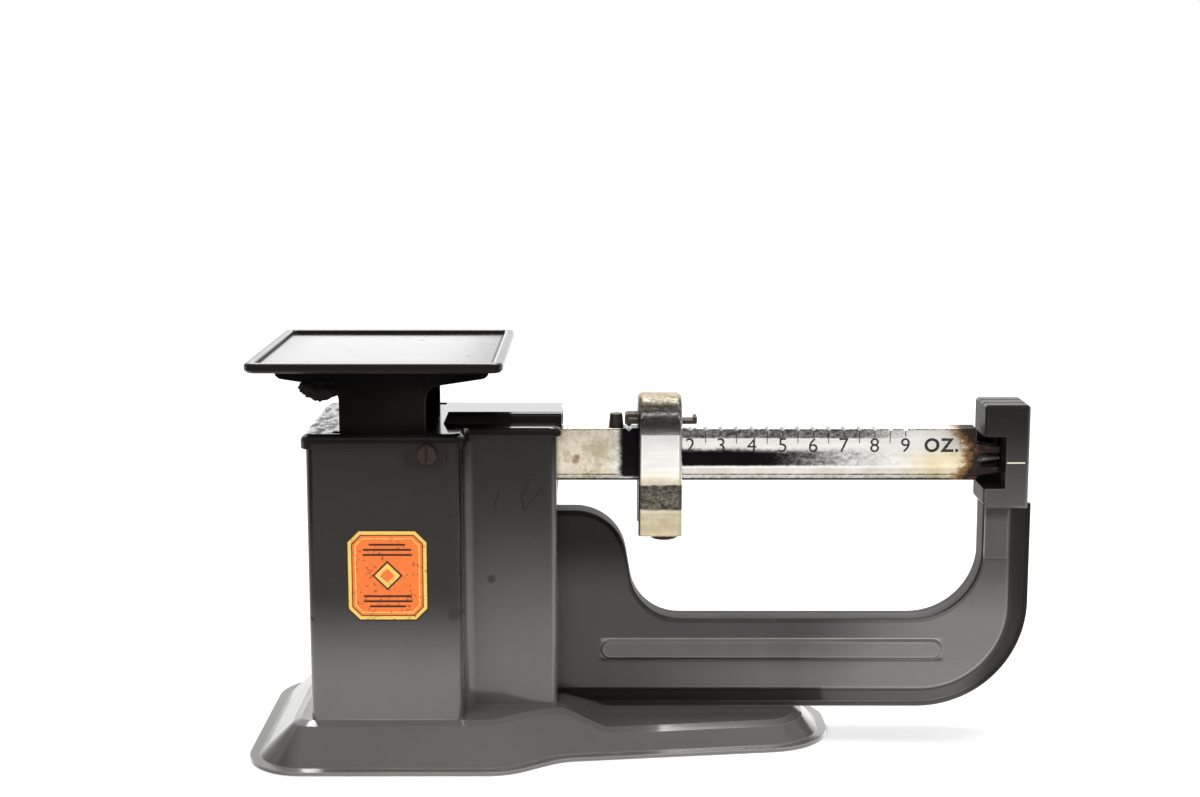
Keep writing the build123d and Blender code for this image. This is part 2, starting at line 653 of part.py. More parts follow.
def make_saddle():
    """Saddle under the tray: a plate with two winged legs folded down from it."""
    half = [(SADDLE_HALF, SADDLE_TOP), (SADDLE_HALF, SADDLE_TOP - WING_TIP_DEEP),
            (SADDLE_LEG_HALF, SADDLE_TOP - WING_ROOT_DEEP), (SADDLE_LEG_HALF, PIVOT_Z - LEG_DROP)]
    points = [(SADDLE_X + x, z) for x, z in half] + [(SADDLE_X - x, z) for x, z in reversed(half)]
    radii = [0, 0.6 * WING_TIP_DEEP, WING_ROOT_R, SADDLE_SHEET]
    saddle = block(SADDLE_X - SADDLE_HALF, SADDLE_X + SADDLE_HALF, -SADDLE_OUTER, SADDLE_OUTER,
                   SADDLE_TOP - SADDLE_SHEET, SADDLE_TOP)
    for leg in both_sides(side_profile(points, SADDLE_INNER, SADDLE_OUTER, radii + radii[::-1])):
        saddle += leg
    return fillet(saddle.faces().sort_by(Axis.Z)[-1].edges().filter_by(Axis.X), 0.75 * SADDLE_SHEET)


def make_stirrup():
    """U-shaped strap below the saddle, with two ears for the checking link's pin."""
    low, high = STIRRUP_LOW + SADDLE_SHEET, PIVOT_Z - STIRRUP_DROP
    ring = cross_outline(SADDLE_INNER, STIRRUP_LOW, high, STIRRUP_BEND_R, 0)
    ring -= cross_outline(SADDLE_INNER - SADDLE_SHEET, low, high + 1, STIRRUP_BEND_R - SADDLE_SHEET, 0)
    strap = Pos(LOAD_X - STIRRUP_HALF, 0, 0) * extrude(Plane.YZ * ring, 2 * STIRRUP_HALF)
    reach = LINK_HUB_R
    points = [(LOAD_X - reach, low - 0.5), (LOAD_X + reach, low - 0.5), (LOAD_X + reach, CHECK_Z + reach),
              (LOAD_X - reach, CHECK_Z + reach)]
    radii = [0, 0, 0.9 * reach, 0.9 * reach]
    for ear in both_sides(side_profile(points, LINK_EAR_OUTER - LINK_EAR, LINK_EAR_OUTER, radii)):
        strap += ear
    return strap - rod(LINK_PIN_R, (LOAD_X, -LINK_EAR_OUTER, CHECK_Z), (LOAD_X, LINK_EAR_OUTER, CHECK_Z))


def make_stirrup_rivets():
    """Rivets that join the stirrup to the saddle's legs."""
    inner, outer, z = SADDLE_OUTER - 2 * SADDLE_SHEET, SADDLE_OUTER, PIVOT_Z - RIVET_DROP
    spans = [(RIVET_R, inner, outer), (1.7 * RIVET_R, inner - RIVET_HEAD, inner),
             (1.7 * RIVET_R, outer, outer + RIVET_HEAD)]
    rivets = []
    for x in (LOAD_X - 0.5 * RIVET_PITCH, LOAD_X + 0.5 * RIVET_PITCH):
        shank, inner_head, outer_head = [rod(r, (x, y0, z), (x, y1, z)) for r, y0, y1 in spans]
        rivets += both_sides(shank + inner_head + outer_head)
    return rivets


def make_tray():
    """Square letter tray: a flat floor inside a raised rolled rim."""
    inner_side = TRAY_SIDE - 2 * TRAY_RIM
    outline = RectangleRounded(TRAY_SIDE, TRAY_SIDE, TRAY_CORNER_R)
    rim = extrude(outline - RectangleRounded(inner_side, inner_side, 1.0), TRAY_RIM_HIGH)
    rim = fillet(rim.faces().sort_by(Axis.Z)[-1].edges(), 0.3 * TRAY_RIM)
    rim = chamfer(rim.faces().sort_by(Axis.Z)[0].outer_wire().edges(), 0.25 * TRAY_RIM)
    floor_side = TRAY_SIDE - TRAY_RIM
    floor_low = TRAY_RIM_HIGH - TRAY_RECESS - SHEET
    floor = Pos(0, 0, floor_low) * extrude(Rectangle(floor_side, floor_side), SHEET)
    return Pos(TRAY_X, 0, TRAY_TOP - TRAY_RIM_HIGH) * (rim + floor)


def make_beam():
    """Inverted channel with poise notches along its top and a forked end in the index head."""
    low, high = INDEX_Z - FORK_HALF, INDEX_Z + FORK_HALF
    points = [(BEAM_LEFT, BEAM_LOW), (BEAM_RIGHT, BEAM_LOW), (BEAM_RIGHT + 0.8, low), (FORK_END, low + 0.8),
              (FORK_END, high - 0.6), (BEAM_RIGHT, high), (BEAM_RIGHT, BEAM_HIGH), (BEAM_LEFT, BEAM_HIGH)]
    beam = side_profile(points, -BEAM_HALF, BEAM_HALF)
    for face in (0, -1):
        beam = fillet(beam.faces().sort_by(Axis.Z)[face].edges().filter_by(Axis.X), 0.4 * BEAM_SHEET)
    core = BEAM_HALF - BEAM_SHEET
    beam -= block(BEAM_LEFT - 1, FORK_END + 1, -core, core, BEAM_LOW - 1, BEAM_HIGH - BEAM_SHEET)
    half, root = 0.5 * FORK_SLOT, BEAM_RIGHT + BEAM_END_GAP
    slot = [(FORK_END + 1, INDEX_Z - half), (FORK_END + 1, INDEX_Z + half), (root, INDEX_Z + half),
            (root - 1, INDEX_Z), (root, INDEX_Z - half)]
    beam -= side_profile(slot, -BASE_HALF, BASE_HALF)
    for count in range(OUNCES * NOTCHES_PER_OUNCE + 1):
        beam -= poise_notch(ZERO_X + count * OUNCE_STEP / NOTCHES_PER_OUNCE)
    for x, edge_up in ((FULCRUM_X, False), (LOAD_X, True)):
        beam -= side_profile(knife_profile(x, edge_up), -BASE_HALF, BASE_HALF)
    return beam


def poise_notch(x):
    """One notch in the beam's top edge for the pawl's tooth."""
    low, high = BEAM_HIGH - NOTCH_DEPTH, BEAM_HIGH + 0.01
    return side_profile([(x - NOTCH_DEPTH, high), (x, low), (x + NOTCH_DEPTH, high)], -BASE_HALF, BASE_HALF)


def make_pointer():
    """Pointed pin held between the beam's walls, level with the head's index line."""
    radius = BEAM_HALF - BEAM_SHEET
    start = POINTER_TIP - POINTER_LONG
    shoulder = POINTER_TIP - 2.5 * radius
    line = Polyline((start, 0), (POINTER_TIP, 0), (POINTER_TIP, 0.15 * radius), (shoulder, 0.7 * radius),
                    (shoulder - 0.6 * radius, radius), (start, radius), close=True)
    return Pos(0, 0, INDEX_Z) * revolve(make_face(line), Axis.X)


def make_stop_stud():
    """Tapered stud that stops the poise at zero."""
    taper = Pos(STUD_X, 0, BEAM_HIGH + 0.5 * STUD_HIGH) * Cone(STUD_R, STUD_TOP_R, STUD_HIGH)
    top, half = BEAM_HIGH + STUD_HIGH, 0.5 * STUD_SLOT
    return taper - block(STUD_X - STUD_R, STUD_X + STUD_R, -half, half, top - STUD_SLOT, top + 1)


def make_counterweight():
    """Block on the beam's tail that balances the empty scale with the poise at zero."""
    weight = block(WEIGHT_LEFT, WEIGHT_RIGHT, -WEIGHT_HALF, WEIGHT_HALF, WEIGHT_LOW, WEIGHT_HIGH)
    weight = fillet(weight.edges().filter_by(Axis.X), WEIGHT_EDGE_R)
    weight -= block(BEAM_LEFT, WEIGHT_RIGHT + 1, -BEAM_HALF, BEAM_HALF, BEAM_LOW, WEIGHT_HIGH + 1)
    return weight - make_balance_screw()


def make_balance_screw():
    """Threaded stud in the counterweight's inner face."""
    left = WEIGHT_RIGHT - BALANCE_SCREW_HOLD
    return rod(BALANCE_SCREW_R, (left, 0, BALANCE_Z), (left + BALANCE_SCREW_LONG, 0, BALANCE_Z))


def make_balance_nut():
    """Round nut that is turned along the stud to set zero."""
    left = WEIGHT_RIGHT + SLIDE_GAP
    nut = rod(BALANCE_NUT_R, (left, 0, BALANCE_Z), (left + BALANCE_NUT_THICK, 0, BALANCE_Z))
    return nut - make_balance_screw()


def poise_form(half, top, low, long):
    """Upright form of the poise: rounded over the top, and as long as given along the beam."""
    shoulder = top - half
    line = Polyline((-half, shoulder), (-half, low), (half, low), (half, shoulder))
    line += ThreePointArc((half, shoulder), (0, top), (-half, shoulder))
    start = POISE_LEFT + 0.5 * (POISE_WIDTH - long)
    return Pos(start, 0, 0) * extrude(Plane.YZ * make_face(line), long)


def make_poise_strap():
    """Plated strap bent over the beam, its outer edges rounded."""
    form = poise_form(POISE_HALF, POISE_TOP, POISE_LOW, POISE_WIDTH)
    ends = form.faces().sort_by(Axis.X)
    rims = [e for end in (ends[0], ends[-1]) for e in end.edges() if e.center().Z > POISE_LOW + 0.1]
    form = fillet(rims, POISE_EDGE_R)
    return form - poise_form(POISE_HALF - POISE_STRAP, POISE_TOP - POISE_STRAP, POISE_LOW - 1, POISE_WIDTH)


def make_poise_weight():
    """Weight inside the strap, with a window for the beam and pawl and a cavity for adjusting shot."""
    low = POISE_LOW + WEIGHT_RAISE
    core = poise_form(POISE_HALF - POISE_STRAP, POISE_TOP - POISE_STRAP, low, POISE_WIDTH - 2 * WEIGHT_INSET)
    window = BEAM_HALF + SLIDE_GAP
    core -= block(POISE_LEFT, POISE_RIGHT, -window, window, BEAM_LOW - SLIDE_GAP, PAWL_HIGH)
    x = plug_x()
    plug_top = POISE_LOW - PLUG_SHOWS + PLUG_LONG
    core -= rod(CAVITY_R, (x, 0, plug_top), (x, 0, plug_top + CAVITY_HIGH))
    return core - make_poise_plug() - make_pawl_rivet()


def plug_x():
    """Place of the plug along the beam."""
    return POISE_LEFT + 0.5 * POISE_WIDTH + PLUG_SHIFT


def make_poise_plug():
    """Slotted plug that closes the adjusting cavity from below."""
    x, low = plug_x(), POISE_LOW - PLUG_SHOWS
    plug = rod(PLUG_R, (x, 0, low), (x, 0, low + PLUG_LONG))
    plug = chamfer(plug.edges().group_by(Axis.Z)[0], 0.2 * PLUG_SHOWS)
    return plug - block(x - 2 * PLUG_R, x + 2 * PLUG_R, -0.5, 0.5, low - 1, low + 0.3 * PLUG_SHOWS)


def make_pawl():
    """Bent leaf through the poise: a hooked finger with its tooth at zero, and a thumb tab on the right."""
    t = PAWL_THICK
    right, leaf_end = POISE_RIGHT + PAWL_TAB, POISE_RIGHT - 2
    tooth = [(ZERO_X - PAWL_TOOTH, PAWL_LOW), (ZERO_X, PAWL_LOW - PAWL_TOOTH),
             (ZERO_X + PAWL_TOOTH, PAWL_LOW)]
    points = [(PAWL_LEFT, PAWL_LOW), *tooth, (right, PAWL_LOW), (right, PAWL_HIGH - t),
              (right - t, PAWL_HIGH - t), (right - t, PAWL_LOW + t), (PAWL_LEFT + t, PAWL_LOW + t),
              (PAWL_LEFT + t, PAWL_HIGH - t), (leaf_end, PAWL_HIGH - t), (leaf_end, PAWL_HIGH),
              (PAWL_LEFT, PAWL_HIGH)]
    radii = [0, 0, 0, 0, 0.5 * t, 0, 0, 0, 0.2 * t, 0.2 * t, 0, 0, t]
    return side_profile(points, -PAWL_HALF, PAWL_HALF, radii) - make_pawl_rivet()


def make_pawl_rivet():
    """Rivet that holds the pawl's upper leaf to the weight."""
    x, seat = POISE_LEFT + 0.5 * POISE_WIDTH, PAWL_HIGH - PAWL_THICK
    rivet = rod(PAWL_RIVET_R, (x, 0, seat), (x, 0, POISE_TOP - POISE_STRAP - 0.6))
    return rivet + rod(1.6 * PAWL_RIVET_R, (x, 0, seat - 0.4), (x, 0, seat))


def riveted(shape):
    """The shape with a hole for each of the stirrup's rivets."""
    for rivet in make_stirrup_rivets():
        shape -= rivet
    return shape


arm_front = drilled(make_arm_front(), arm_screw_seats())
nodes = {
    "base": drilled(make_base(), housing_screw_seats() + stand_screw_seats()),
    "housing": drilled(make_housing(), housing_screw_seats() + arm_screw_seats() + cover_screw_seats()),
    "housing_screws": screws(housing_screw_seats()),
    "cover": drilled(make_cover(), cover_screw_seats()),
    "cover_screws": screws(cover_screw_seats(), COVER_SCREW_HEAD_R),
    "arm_front": arm_front,
    "arm_rear": mirror(arm_front, Plane.XZ),
    "arm_end_block": drilled(make_arm_end(), arm_screw_seats()),
    "arm_screws": screws(arm_screw_seats()),
    "guide_head": make_guide_head(),
    "fulcrum_stand": drilled(make_stand(), stand_screw_seats()),
    "stand_screws": screws(stand_screw_seats()),
    "fulcrum_bearings": joined(make_fulcrum_bearings()),
    "anchor_pin": headed_pin(FULCRUM_X, STAND_OUTER),
    "beam": make_beam(),
    "beam_pointer": make_pointer(),
    "fulcrum_knife": make_fulcrum_knife(),
    "load_knife": make_load_knife(),
    "stop_stud": make_stop_stud(),
    "counterweight": make_counterweight(),
    "balance_screw": make_balance_screw(),
    "balance_nut": make_balance_nut(),
    "tray": make_tray(),
    "tray_saddle": riveted(make_saddle()),
    "load_bearings": joined(make_load_bearings()),
    "stirrup": riveted(make_stirrup()),
    "stirrup_rivets": joined(make_stirrup_rivets()),
    "check_pin": headed_pin(LOAD_X, LINK_EAR_OUTER),
    "check_link": make_check_link(),
    "poise_strap": make_poise_strap(),
    "poise_weight": make_poise_weight(),
    "poise_plug": make_poise_plug(),
    "poise_pawl": make_pawl(),
    "pawl_rivet": make_pawl_rivet(),
}

os.makedirs("parts", exist_ok=True)
for name, shape in nodes.items():
    export_step(shape, f"parts/{name}.step")
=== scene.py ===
import math

import bmesh
import bpy
from mathutils import Matrix, Vector, noise


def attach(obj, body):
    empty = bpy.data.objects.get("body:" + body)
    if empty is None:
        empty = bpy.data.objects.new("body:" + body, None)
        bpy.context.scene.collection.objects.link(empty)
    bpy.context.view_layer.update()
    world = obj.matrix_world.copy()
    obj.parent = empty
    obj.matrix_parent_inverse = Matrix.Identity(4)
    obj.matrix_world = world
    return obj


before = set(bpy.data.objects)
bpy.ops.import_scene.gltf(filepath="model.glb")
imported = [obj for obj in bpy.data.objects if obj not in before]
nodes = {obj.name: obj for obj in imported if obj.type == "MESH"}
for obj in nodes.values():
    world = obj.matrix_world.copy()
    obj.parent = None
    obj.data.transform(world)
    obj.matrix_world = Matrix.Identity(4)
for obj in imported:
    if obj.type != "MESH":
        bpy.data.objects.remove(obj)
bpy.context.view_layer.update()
MM = 0.001

# Camera: an ordinary lens, less than half a metre in front of the beam and above the tray. It is
# level from side to side and tipped down by about eight degrees, with the scale low in its frame.
CAMERA_AT = (-11.79, -457.37, 168.85)
CAMERA_DOWN = 0.145
LENS = 53.79
SENSOR_WIDE = 36
FRAME_WIDE = 1200
FRAME_DROP = 53.5
camera = bpy.data.objects.new("camera", bpy.data.cameras.new("camera"))
camera.location = Vector(CAMERA_AT) * MM
camera.rotation_euler = (0.5 * math.pi - CAMERA_DOWN, 0, 0)
camera.data.sensor_width = SENSOR_WIDE
camera.data.lens = LENS
camera.data.shift_y = -FRAME_DROP / FRAME_WIDE
camera.data.clip_start = 0.01
bpy.context.scene.collection.objects.link(camera)
bpy.context.scene.camera = camera
bpy.context.scene.view_settings.view_transform = "Standard"


# Base: one pressing of sheet steel that everything stands on, dipped like the other sheet parts
# in a dark grey enamel, which is glossy where it is clean, with fine grit, chips and brown stains.
class Wire:
    """An output in a material's node tree: sums on it add Math nodes, and add() makes any other node."""

    def __init__(self, tree, socket=None):
        self.tree = tree
        self.socket = socket

    def add(self, kind, settings=None, values=None, out=0):
        node = self.tree.nodes.new("ShaderNode" + kind)
        for name, value in (settings or {}).items():
            setattr(node, name, value)
        for key, value in (values or {}).items():
            socket = node.inputs[key]
            if isinstance(value, Wire):
                self.tree.links.new(value.socket, socket)
            elif socket.type == "RGBA" and len(value) == 3:
                socket.default_value = (*value, 1)
            else:
                socket.default_value = value
        return Wire(self.tree, node.outputs[out] if len(node.outputs) else None)

    def other(self, out):
        """Another output of the same node."""
        return Wire(self.tree, self.socket.node.outputs[out])

    def math(self, operation, first, second=0.0):
        return self.add("Math", {"operation": operation}, {0: first, 1: second})

    def __add__(self, other):
        return self.math("ADD", self, other)

    def __sub__(self, other):
        return self.math("SUBTRACT", self, other)

    def __rsub__(self, other):
        return self.math("SUBTRACT", other, self)

    def __mul__(self, other):
        return self.math("MULTIPLY", self, other)

    def __truediv__(self, other):
        return self.math("DIVIDE", self, other)

    def __abs__(self):
        return self.math("ABSOLUTE", self)

    __radd__, __rmul__ = __add__, __mul__

    def ramp(self, low, high):
        """0 at low, 1 at high and clamped outside, smooth between."""
        settings = {"interpolation_type": "SMOOTHSTEP"}
        return self.add("MapRange", settings, {"Value": self, "From Min": low, "From Max": high})

    def largest(self, *others):
        """Whichever of these is the largest at each point."""
        wire = self
        for other in others:
            wire = self.math("MAXIMUM", wire, other)
        return wire

    def vector(self, operation, first, second=(0, 0, 0), out=0):
        return self.add("VectorMath", {"operation": operation}, {0: first, 1: second}, out)

    def mix(self, first, second):
        """The first colour where this wire is 0 and the second where it is 1."""
        return self.add("Mix", {"data_type": "RGBA"}, {0: self, 6: first, 7: second}, out=2)


def new_finish(name):
    """An empty material, and a wire to build its nodes from."""
    material = bpy.data.materials.new(name)
    material.use_nodes = True
    material.node_tree.nodes.clear()
    return material, Wire(material.node_tree)


def own_frame(wire):
    """Each point's place in the object's own frame, in metres."""
    return wire.add("TexCoord", out=3)


def axes(wire):
    """The X, Y and Z of the object's own frame, each in millimetres."""
    split = wire.add("SeparateXYZ", values={"Vector": own_frame(wire)})
    return [split.other(i) / MM for i in range(3)]


def grain(wire, size, detail=2.0, stretch=(1, 1, 1), offset=0.0, rough=0.5):
    """Noise whose blotches are about as wide as size, in millimetres, over the object's own frame."""
    values = {"Vector": own_frame(wire), "Scale": stretch, "Location": (offset, offset, 0)}
    turned = wire.add("Mapping", values=values)
    values = {"Vector": turned, "Scale": 1 / (size * MM), "Detail": detail, "Roughness": rough}
    return wire.add("TexNoise", values=values)


def edges(wire, wide):
    """1 along the object's sharp edges and folds, within this many millimetres, and 0 on its flats."""
    rounded = wire.add("Bevel", {"samples": 4}, {"Radius": wide * MM})
    straight = wire.add("NewGeometry", out=1)
    return wire.vector("DOT_PRODUCT", rounded, straight, 1).ramp(0.995, 0.93)


def bumps(wire, height, deep):
    """A normal from a height wire, whose full range is this deep in millimetres."""
    return wire.add("Bump", values={"Height": height, "Distance": deep * MM, "Strength": 1.0})


def finish(wire, **sockets):
    """The surface shader and the material's output, from sockets named with underscores."""
    values = {name.replace("_", " "): value for name, value in sockets.items()}
    shader = wire.add("BsdfPrincipled", values=values)
    wire.add("OutputMaterial", values={"Surface": shader})


def paint(names, material):
    """Gives one material to these CAD nodes."""
    for name in names:
        nodes[name].data.materials.clear()
        nodes[name].data.materials.append(material)


def reach(name):
    """How far a CAD node reaches, low and high, along X, Y and Z in millimetres."""
    places = zip(*[vertex.co for vertex in nodes[name].data.vertices])
    return [(round(min(place) / MM, 2), round(max(place) / MM, 2)) for place in places]


ENAMEL_DARK = (0.0075, 0.0062, 0.0048)
ENAMEL_GREY = (0.118, 0.113, 0.105)
ENAMEL_STAIN = (0.050, 0.026, 0.014)
ENAMEL_GRIT = (0.16, 0.14, 0.11)
ENAMEL_CHIP = (0.010, 0.0075, 0.006)
# The pale colour of the painted highlights along folds and edges.
ENAMEL_EDGE_HIGHLIGHT = (0.36, 0.33, 0.29)
FOLD_WIDE = 0.55


def enamel(name, wear_and_light, gloss=0.2, stain=0.3, marks=None, body_ior=1.36, coat=(0.15, 0.7),
           body=ENAMEL_DARK, ripple=0.012):
    """Dark enamel. The second argument gives a wire for how far it goes from near black to grey, by
    rubbing and fading, and on some parts by painted reflection and painted highlights.

    marks gives one for its dark marks, some of which are painted shade, coat is the weight of its gloss
    coat and what the grey adds to that, and ripple is how deep its skin is uneven, in millimetres.
    """
    material, w = new_finish(name)
    pale = wear_and_light(w)
    cloud = grain(w, 30, 3).ramp(0.3, 0.75)
    streak = grain(w, 7, 4, stretch=(1, 1, 0.25), offset=9.0).ramp(0.35, 0.75)
    grit = grain(w, 0.7, 2).ramp(0.70, 0.76)
    chips = grain(w, 2.8, 4, rough=0.7).ramp(0.715, 0.745)
    stains = grain(w, 12, 5, offset=4.0, rough=0.65).ramp(0.58, 0.8) * stain
    fold = edges(w, FOLD_WIDE)
    dark = chips * 0.7
    if marks:
        dark = dark.largest(marks(w))
    # The grey from the second argument is rubbed enamel, and on the housing, arm and head it is also
    # painted reflection and painted highlight.
    tone = (pale * (0.86 + cloud * 0.16 + streak * 0.1)).mix(body, ENAMEL_GREY)
    tone = stains.mix(tone, ENAMEL_STAIN)
    tone = (grit * (0.12 + pale * 0.25)).mix(tone, ENAMEL_GRIT)
    tone = dark.mix(tone, ENAMEL_CHIP)
    # Painted highlight: pale lines along folds and sharp edges, stronger where the enamel is greyer.
    tone = (fold * (0.02 + (0.3 + cloud) * pale * 0.6)).mix(tone, ENAMEL_EDGE_HIGHLIGHT)
    rough = gloss + cloud * 0.05 + streak * 0.05 + stains * 0.3 + grit * 0.15 + dark * 0.25
    skin = grain(w, 3.5, 2) * 0.5 + grit * 0.5 + dark * -1.2
    clear = (coat[0] + pale * coat[1]) * (1 - stains * 0.6) * (1 - dark * 0.9)
    finish(w, Base_Color=tone, Roughness=rough, Normal=bumps(w, skin, ripple), IOR=body_ior,
           Coat_Weight=clear, Coat_Roughness=0.1, Coat_IOR=1.5)
    return material


(BASE_LEFT, _), _, _ = reach("base")


def base_worn(w):
    """Rubbed grey all over, and painted darker down the slope at the base's left end as painted shade.
    """
    along, _, _ = axes(w)
    return 1.3 - (along - BASE_LEFT).ramp(16.5, 9.5) * 0.75


paint(["base"], enamel("base_enamel", base_worn, gloss=0.17))


# Housing: sheet steel folded to a box that is wide under the tray and steps in to a narrow one
# at the right, enamelled, and screwed to the base from below. It is knocked and scratched.
(_, HOUSING_RIGHT), (HOUSING_FACE, _), _ = reach("housing")
NARROW_LONG = 23.6
HOUSING_STEP = HOUSING_RIGHT - NARROW_LONG
SCRATCH_WIDE = 0.3
SCRATCH_FADE = 0.5
SCRATCHES = (  # each from one X and Z to another, and how dark it is
    ((-29.6, 69.5), (-31.8, 65.2), 1.0),
    ((-31.8, 65.2), (-31.2, 61.2), 1.0),
    ((-31.2, 61.2), (-26.4, 67.4), 0.8),
    ((-37.4, 66.4), (-38.5, 63.0), 1.0),
    ((-38.5, 63.0), (-38.2, 60.6), 0.7),
)
KNOCKS = (  # each at its X and Z, how wide and how dark it is
    (-48.2, 37.2, 4.2, 0.5),
    (-39.5, 43.4, 2.6, 0.75),
    (-83.9, 36.0, 1.6, 1.0),
)


def spot(w, x, z, wide):
    """A round mark on the front: 1 in its middle and 0 at its rim."""
    along, _, up = axes(w)
    u, v = (along - x) / (0.5 * wide), (up - z) / (0.5 * wide)
    return (u * u + v * v).ramp(1.0, 0.3)


def scratch(w, start, end):
    """A straight scratch on the front, from one X and Z to another, that fades at its ends."""
    along, _, up = axes(w)
    (x0, z0), (x1, z1) = start, end
    long = math.hypot(x1 - x0, z1 - z0)
    u, v = (x1 - x0) / long, (z1 - z0) / long
    down_it = (along - x0) * u + (up - z0) * v
    off_it = (along - x0) * v - (up - z0) * u
    on_it = abs(off_it).ramp(SCRATCH_WIDE, 0.4 * SCRATCH_WIDE)
    begun = down_it.ramp(-SCRATCH_FADE, SCRATCH_FADE)
    return on_it * begun * down_it.ramp(long + SCRATCH_FADE, long - SCRATCH_FADE)


def housing_worn(w):
    """Near black at the top and grey low down, as a painted reflection of the white floor, with painted
    highlights as pale lines on the folds at both edges of the narrow front.
    """
    along, _, up = axes(w)
    past_step = along - HOUSING_STEP
    narrow = past_step.ramp(-1.1, 1.4)
    left_fold = past_step.ramp(-0.2, 0.4) * past_step.ramp(2.8, 1.4)
    right_fold = (along - HOUSING_RIGHT).ramp(-1.6, -0.7) * 1.7
    folds = left_fold.largest(right_fold) * up.ramp(84, 62) * 0.4
    return up.ramp(44, 19) * 0.85 * (1 - narrow) + up.ramp(68, 14) * 0.78 * narrow + folds


def housing_marks(w):
    """Old scratches high on the narrow front, and the round marks of knocks."""
    marks = [scratch(w, start, end) * dark for start, end, dark in SCRATCHES]
    marks += [spot(w, x, z, wide) * dark for x, z, wide, dark in KNOCKS]
    return marks[0].largest(*marks[1:]) * 0.8


paint(["housing"], enamel("housing_enamel", housing_worn, marks=housing_marks))


# Arm: two halves pressed from sheet steel with a raised rib and a bevelled edge, enamelled. They
# meet at a lip in the middle, sit on the base and are screwed to the housing at the left.
(ARM_LEFT, ARM_RIGHT), _, (ARM_FOOT, ARM_TOP) = reach("arm_front")
BEND_R = 28.5
BEVEL_FACE = 4.9
WEB_FACE = 4.0
BEND_X = ARM_RIGHT - BEND_R
BEND_Z = ARM_FOOT + BEND_R
RIB_LEFT = ARM_LEFT + 11.0
RIB_RIGHT = ARM_RIGHT - 22.6
RIB_LOW = ARM_FOOT + 13.9
RIB_HIGH = RIB_LOW + 5.6


def arm_outer(w):
    """1 on the arm's foot and right edge, outside the fold of their bevel, and 0 on its web."""
    along, _, up = axes(w)
    out, down = (along - BEND_X).largest(0.0), (BEND_Z - up).largest(0.0)
    fold_r = BEND_R - BEVEL_FACE
    return (out * out + down * down).ramp((fold_r - 1) ** 2, (fold_r + 0.5) ** 2)


def arm_worn(w):
    """Grey paint, lighter low down and to the right as a painted reflection of the floor, with a painted
    highlight on the rib, brightest along its top edge to the right, a lighter post, and painted shade up
    the gusset and on the edge round the bend.
    """
    along, _, up = axes(w)
    low = up.ramp(24, 15) * along.ramp(-12, 35) * 0.4
    right = along.ramp(38, 80) * up.ramp(50, 28) * 0.8
    post = up.ramp(42, 52) * along.ramp(84, 86) * 0.16
    gusset = along.ramp(6, -6) * up.ramp(36, 52) * 0.29
    rib_long = (along - RIB_LEFT).ramp(-0.2, 0.8) * (along - RIB_RIGHT).ramp(0.2, -0.8)
    rib_face = (up - RIB_LOW).ramp(0.4, 1) * 0.28
    rib_shine = (up - RIB_HIGH).ramp(-0.9, -0.5) * (0.45 + along.ramp(25, 74) * 1.6)
    rib = rib_long * (rib_face + rib_shine) * (up - RIB_HIGH).ramp(0.4, 0)
    edge = arm_outer(w) * (along - BEND_X).ramp(6, 20) * 0.93
    return (0.29 + low + right + rib + post - gusset) * (1 - edge)


def arm_marks(w):
    """Painted shade in the crease under the pressed rib, and on the bevels and rims behind the web's
    face, which are dull as well.
    """
    along, across, up = axes(w)
    crease = (up - RIB_LOW).ramp(-0.9, -0.1) * (up - RIB_LOW).ramp(0.8, 0)
    crease = crease * (along - RIB_LEFT).ramp(-1, 1) * (along - RIB_RIGHT).ramp(1, -1) * 0.7
    behind_web = (WEB_FACE - abs(across)).ramp(0.0, 0.3)
    return crease.largest(behind_web * (0.95 - arm_outer(w) * 0.25))


ARM_ENAMEL = enamel("arm_enamel", arm_worn, marks=arm_marks, body_ior=1.25, coat=(0, 0.9))
paint(["arm_front", "arm_rear"], ARM_ENAMEL)


# Index head: an enamelled block that the arm's post carries, with a thin tongue over each face of
# the post. The beam's fork plays in its notch, which is dull and painted black as painted shade;
# the head's left side is dull and black too.
(HEAD_LEFT, HEAD_RIGHT), (HEAD_FACE, _), (_, HEAD_TOP) = reach("guide_head")
NOTCH_RIGHT = HEAD_RIGHT - 6.0
NOTCH_HALF = 6.8
INDEX_Z = HEAD_TOP - 15.0
NOTCH_LOW = INDEX_Z - NOTCH_HALF
NOTCH_HIGH = INDEX_Z + NOTCH_HALF


def in_notch(w):
    """1 at the notch's height and behind the head's front, as far as the notch's right end."""
    along, across, up = axes(w)
    deep = (along - NOTCH_RIGHT).ramp(0.2, 0.0) * (across - HEAD_FACE).ramp(0.05, 0.2)
    return deep * (up - NOTCH_LOW).ramp(-0.8, -0.2) * (up - NOTCH_HIGH).ramp(0.4, 0.1)


def head_worn(w):
    """Grey towards the foot of the head, as a painted reflection of the floor, but not in its notch or
    on its left side.
    """
    along, _, up = axes(w)
    return up.ramp(82, 60) * 0.36 * (1 - in_notch(w)) * (along - HEAD_LEFT).ramp(0.05, 0.2)


def head_marks(w):
    """The dull black left side, a dull top, the notch made dull and black as painted shade, and painted
    shade on the tongue just under the head, at the top of the post.
    """
    along, _, up = axes(w)
    left_side = (along - HEAD_LEFT).ramp(0.2, 0.05) * 0.9
    top = (up - HEAD_TOP).ramp(-0.2, -0.05) * 0.6
    shade = (up - ARM_TOP).ramp(-3.9, -1.4) * (up - ARM_TOP).ramp(0.1, -0.2) * 0.6
    return (in_notch(w) * 0.9).largest(left_side, top + shade)


paint(["guide_head"], enamel("head_enamel", head_worn, marks=head_marks))


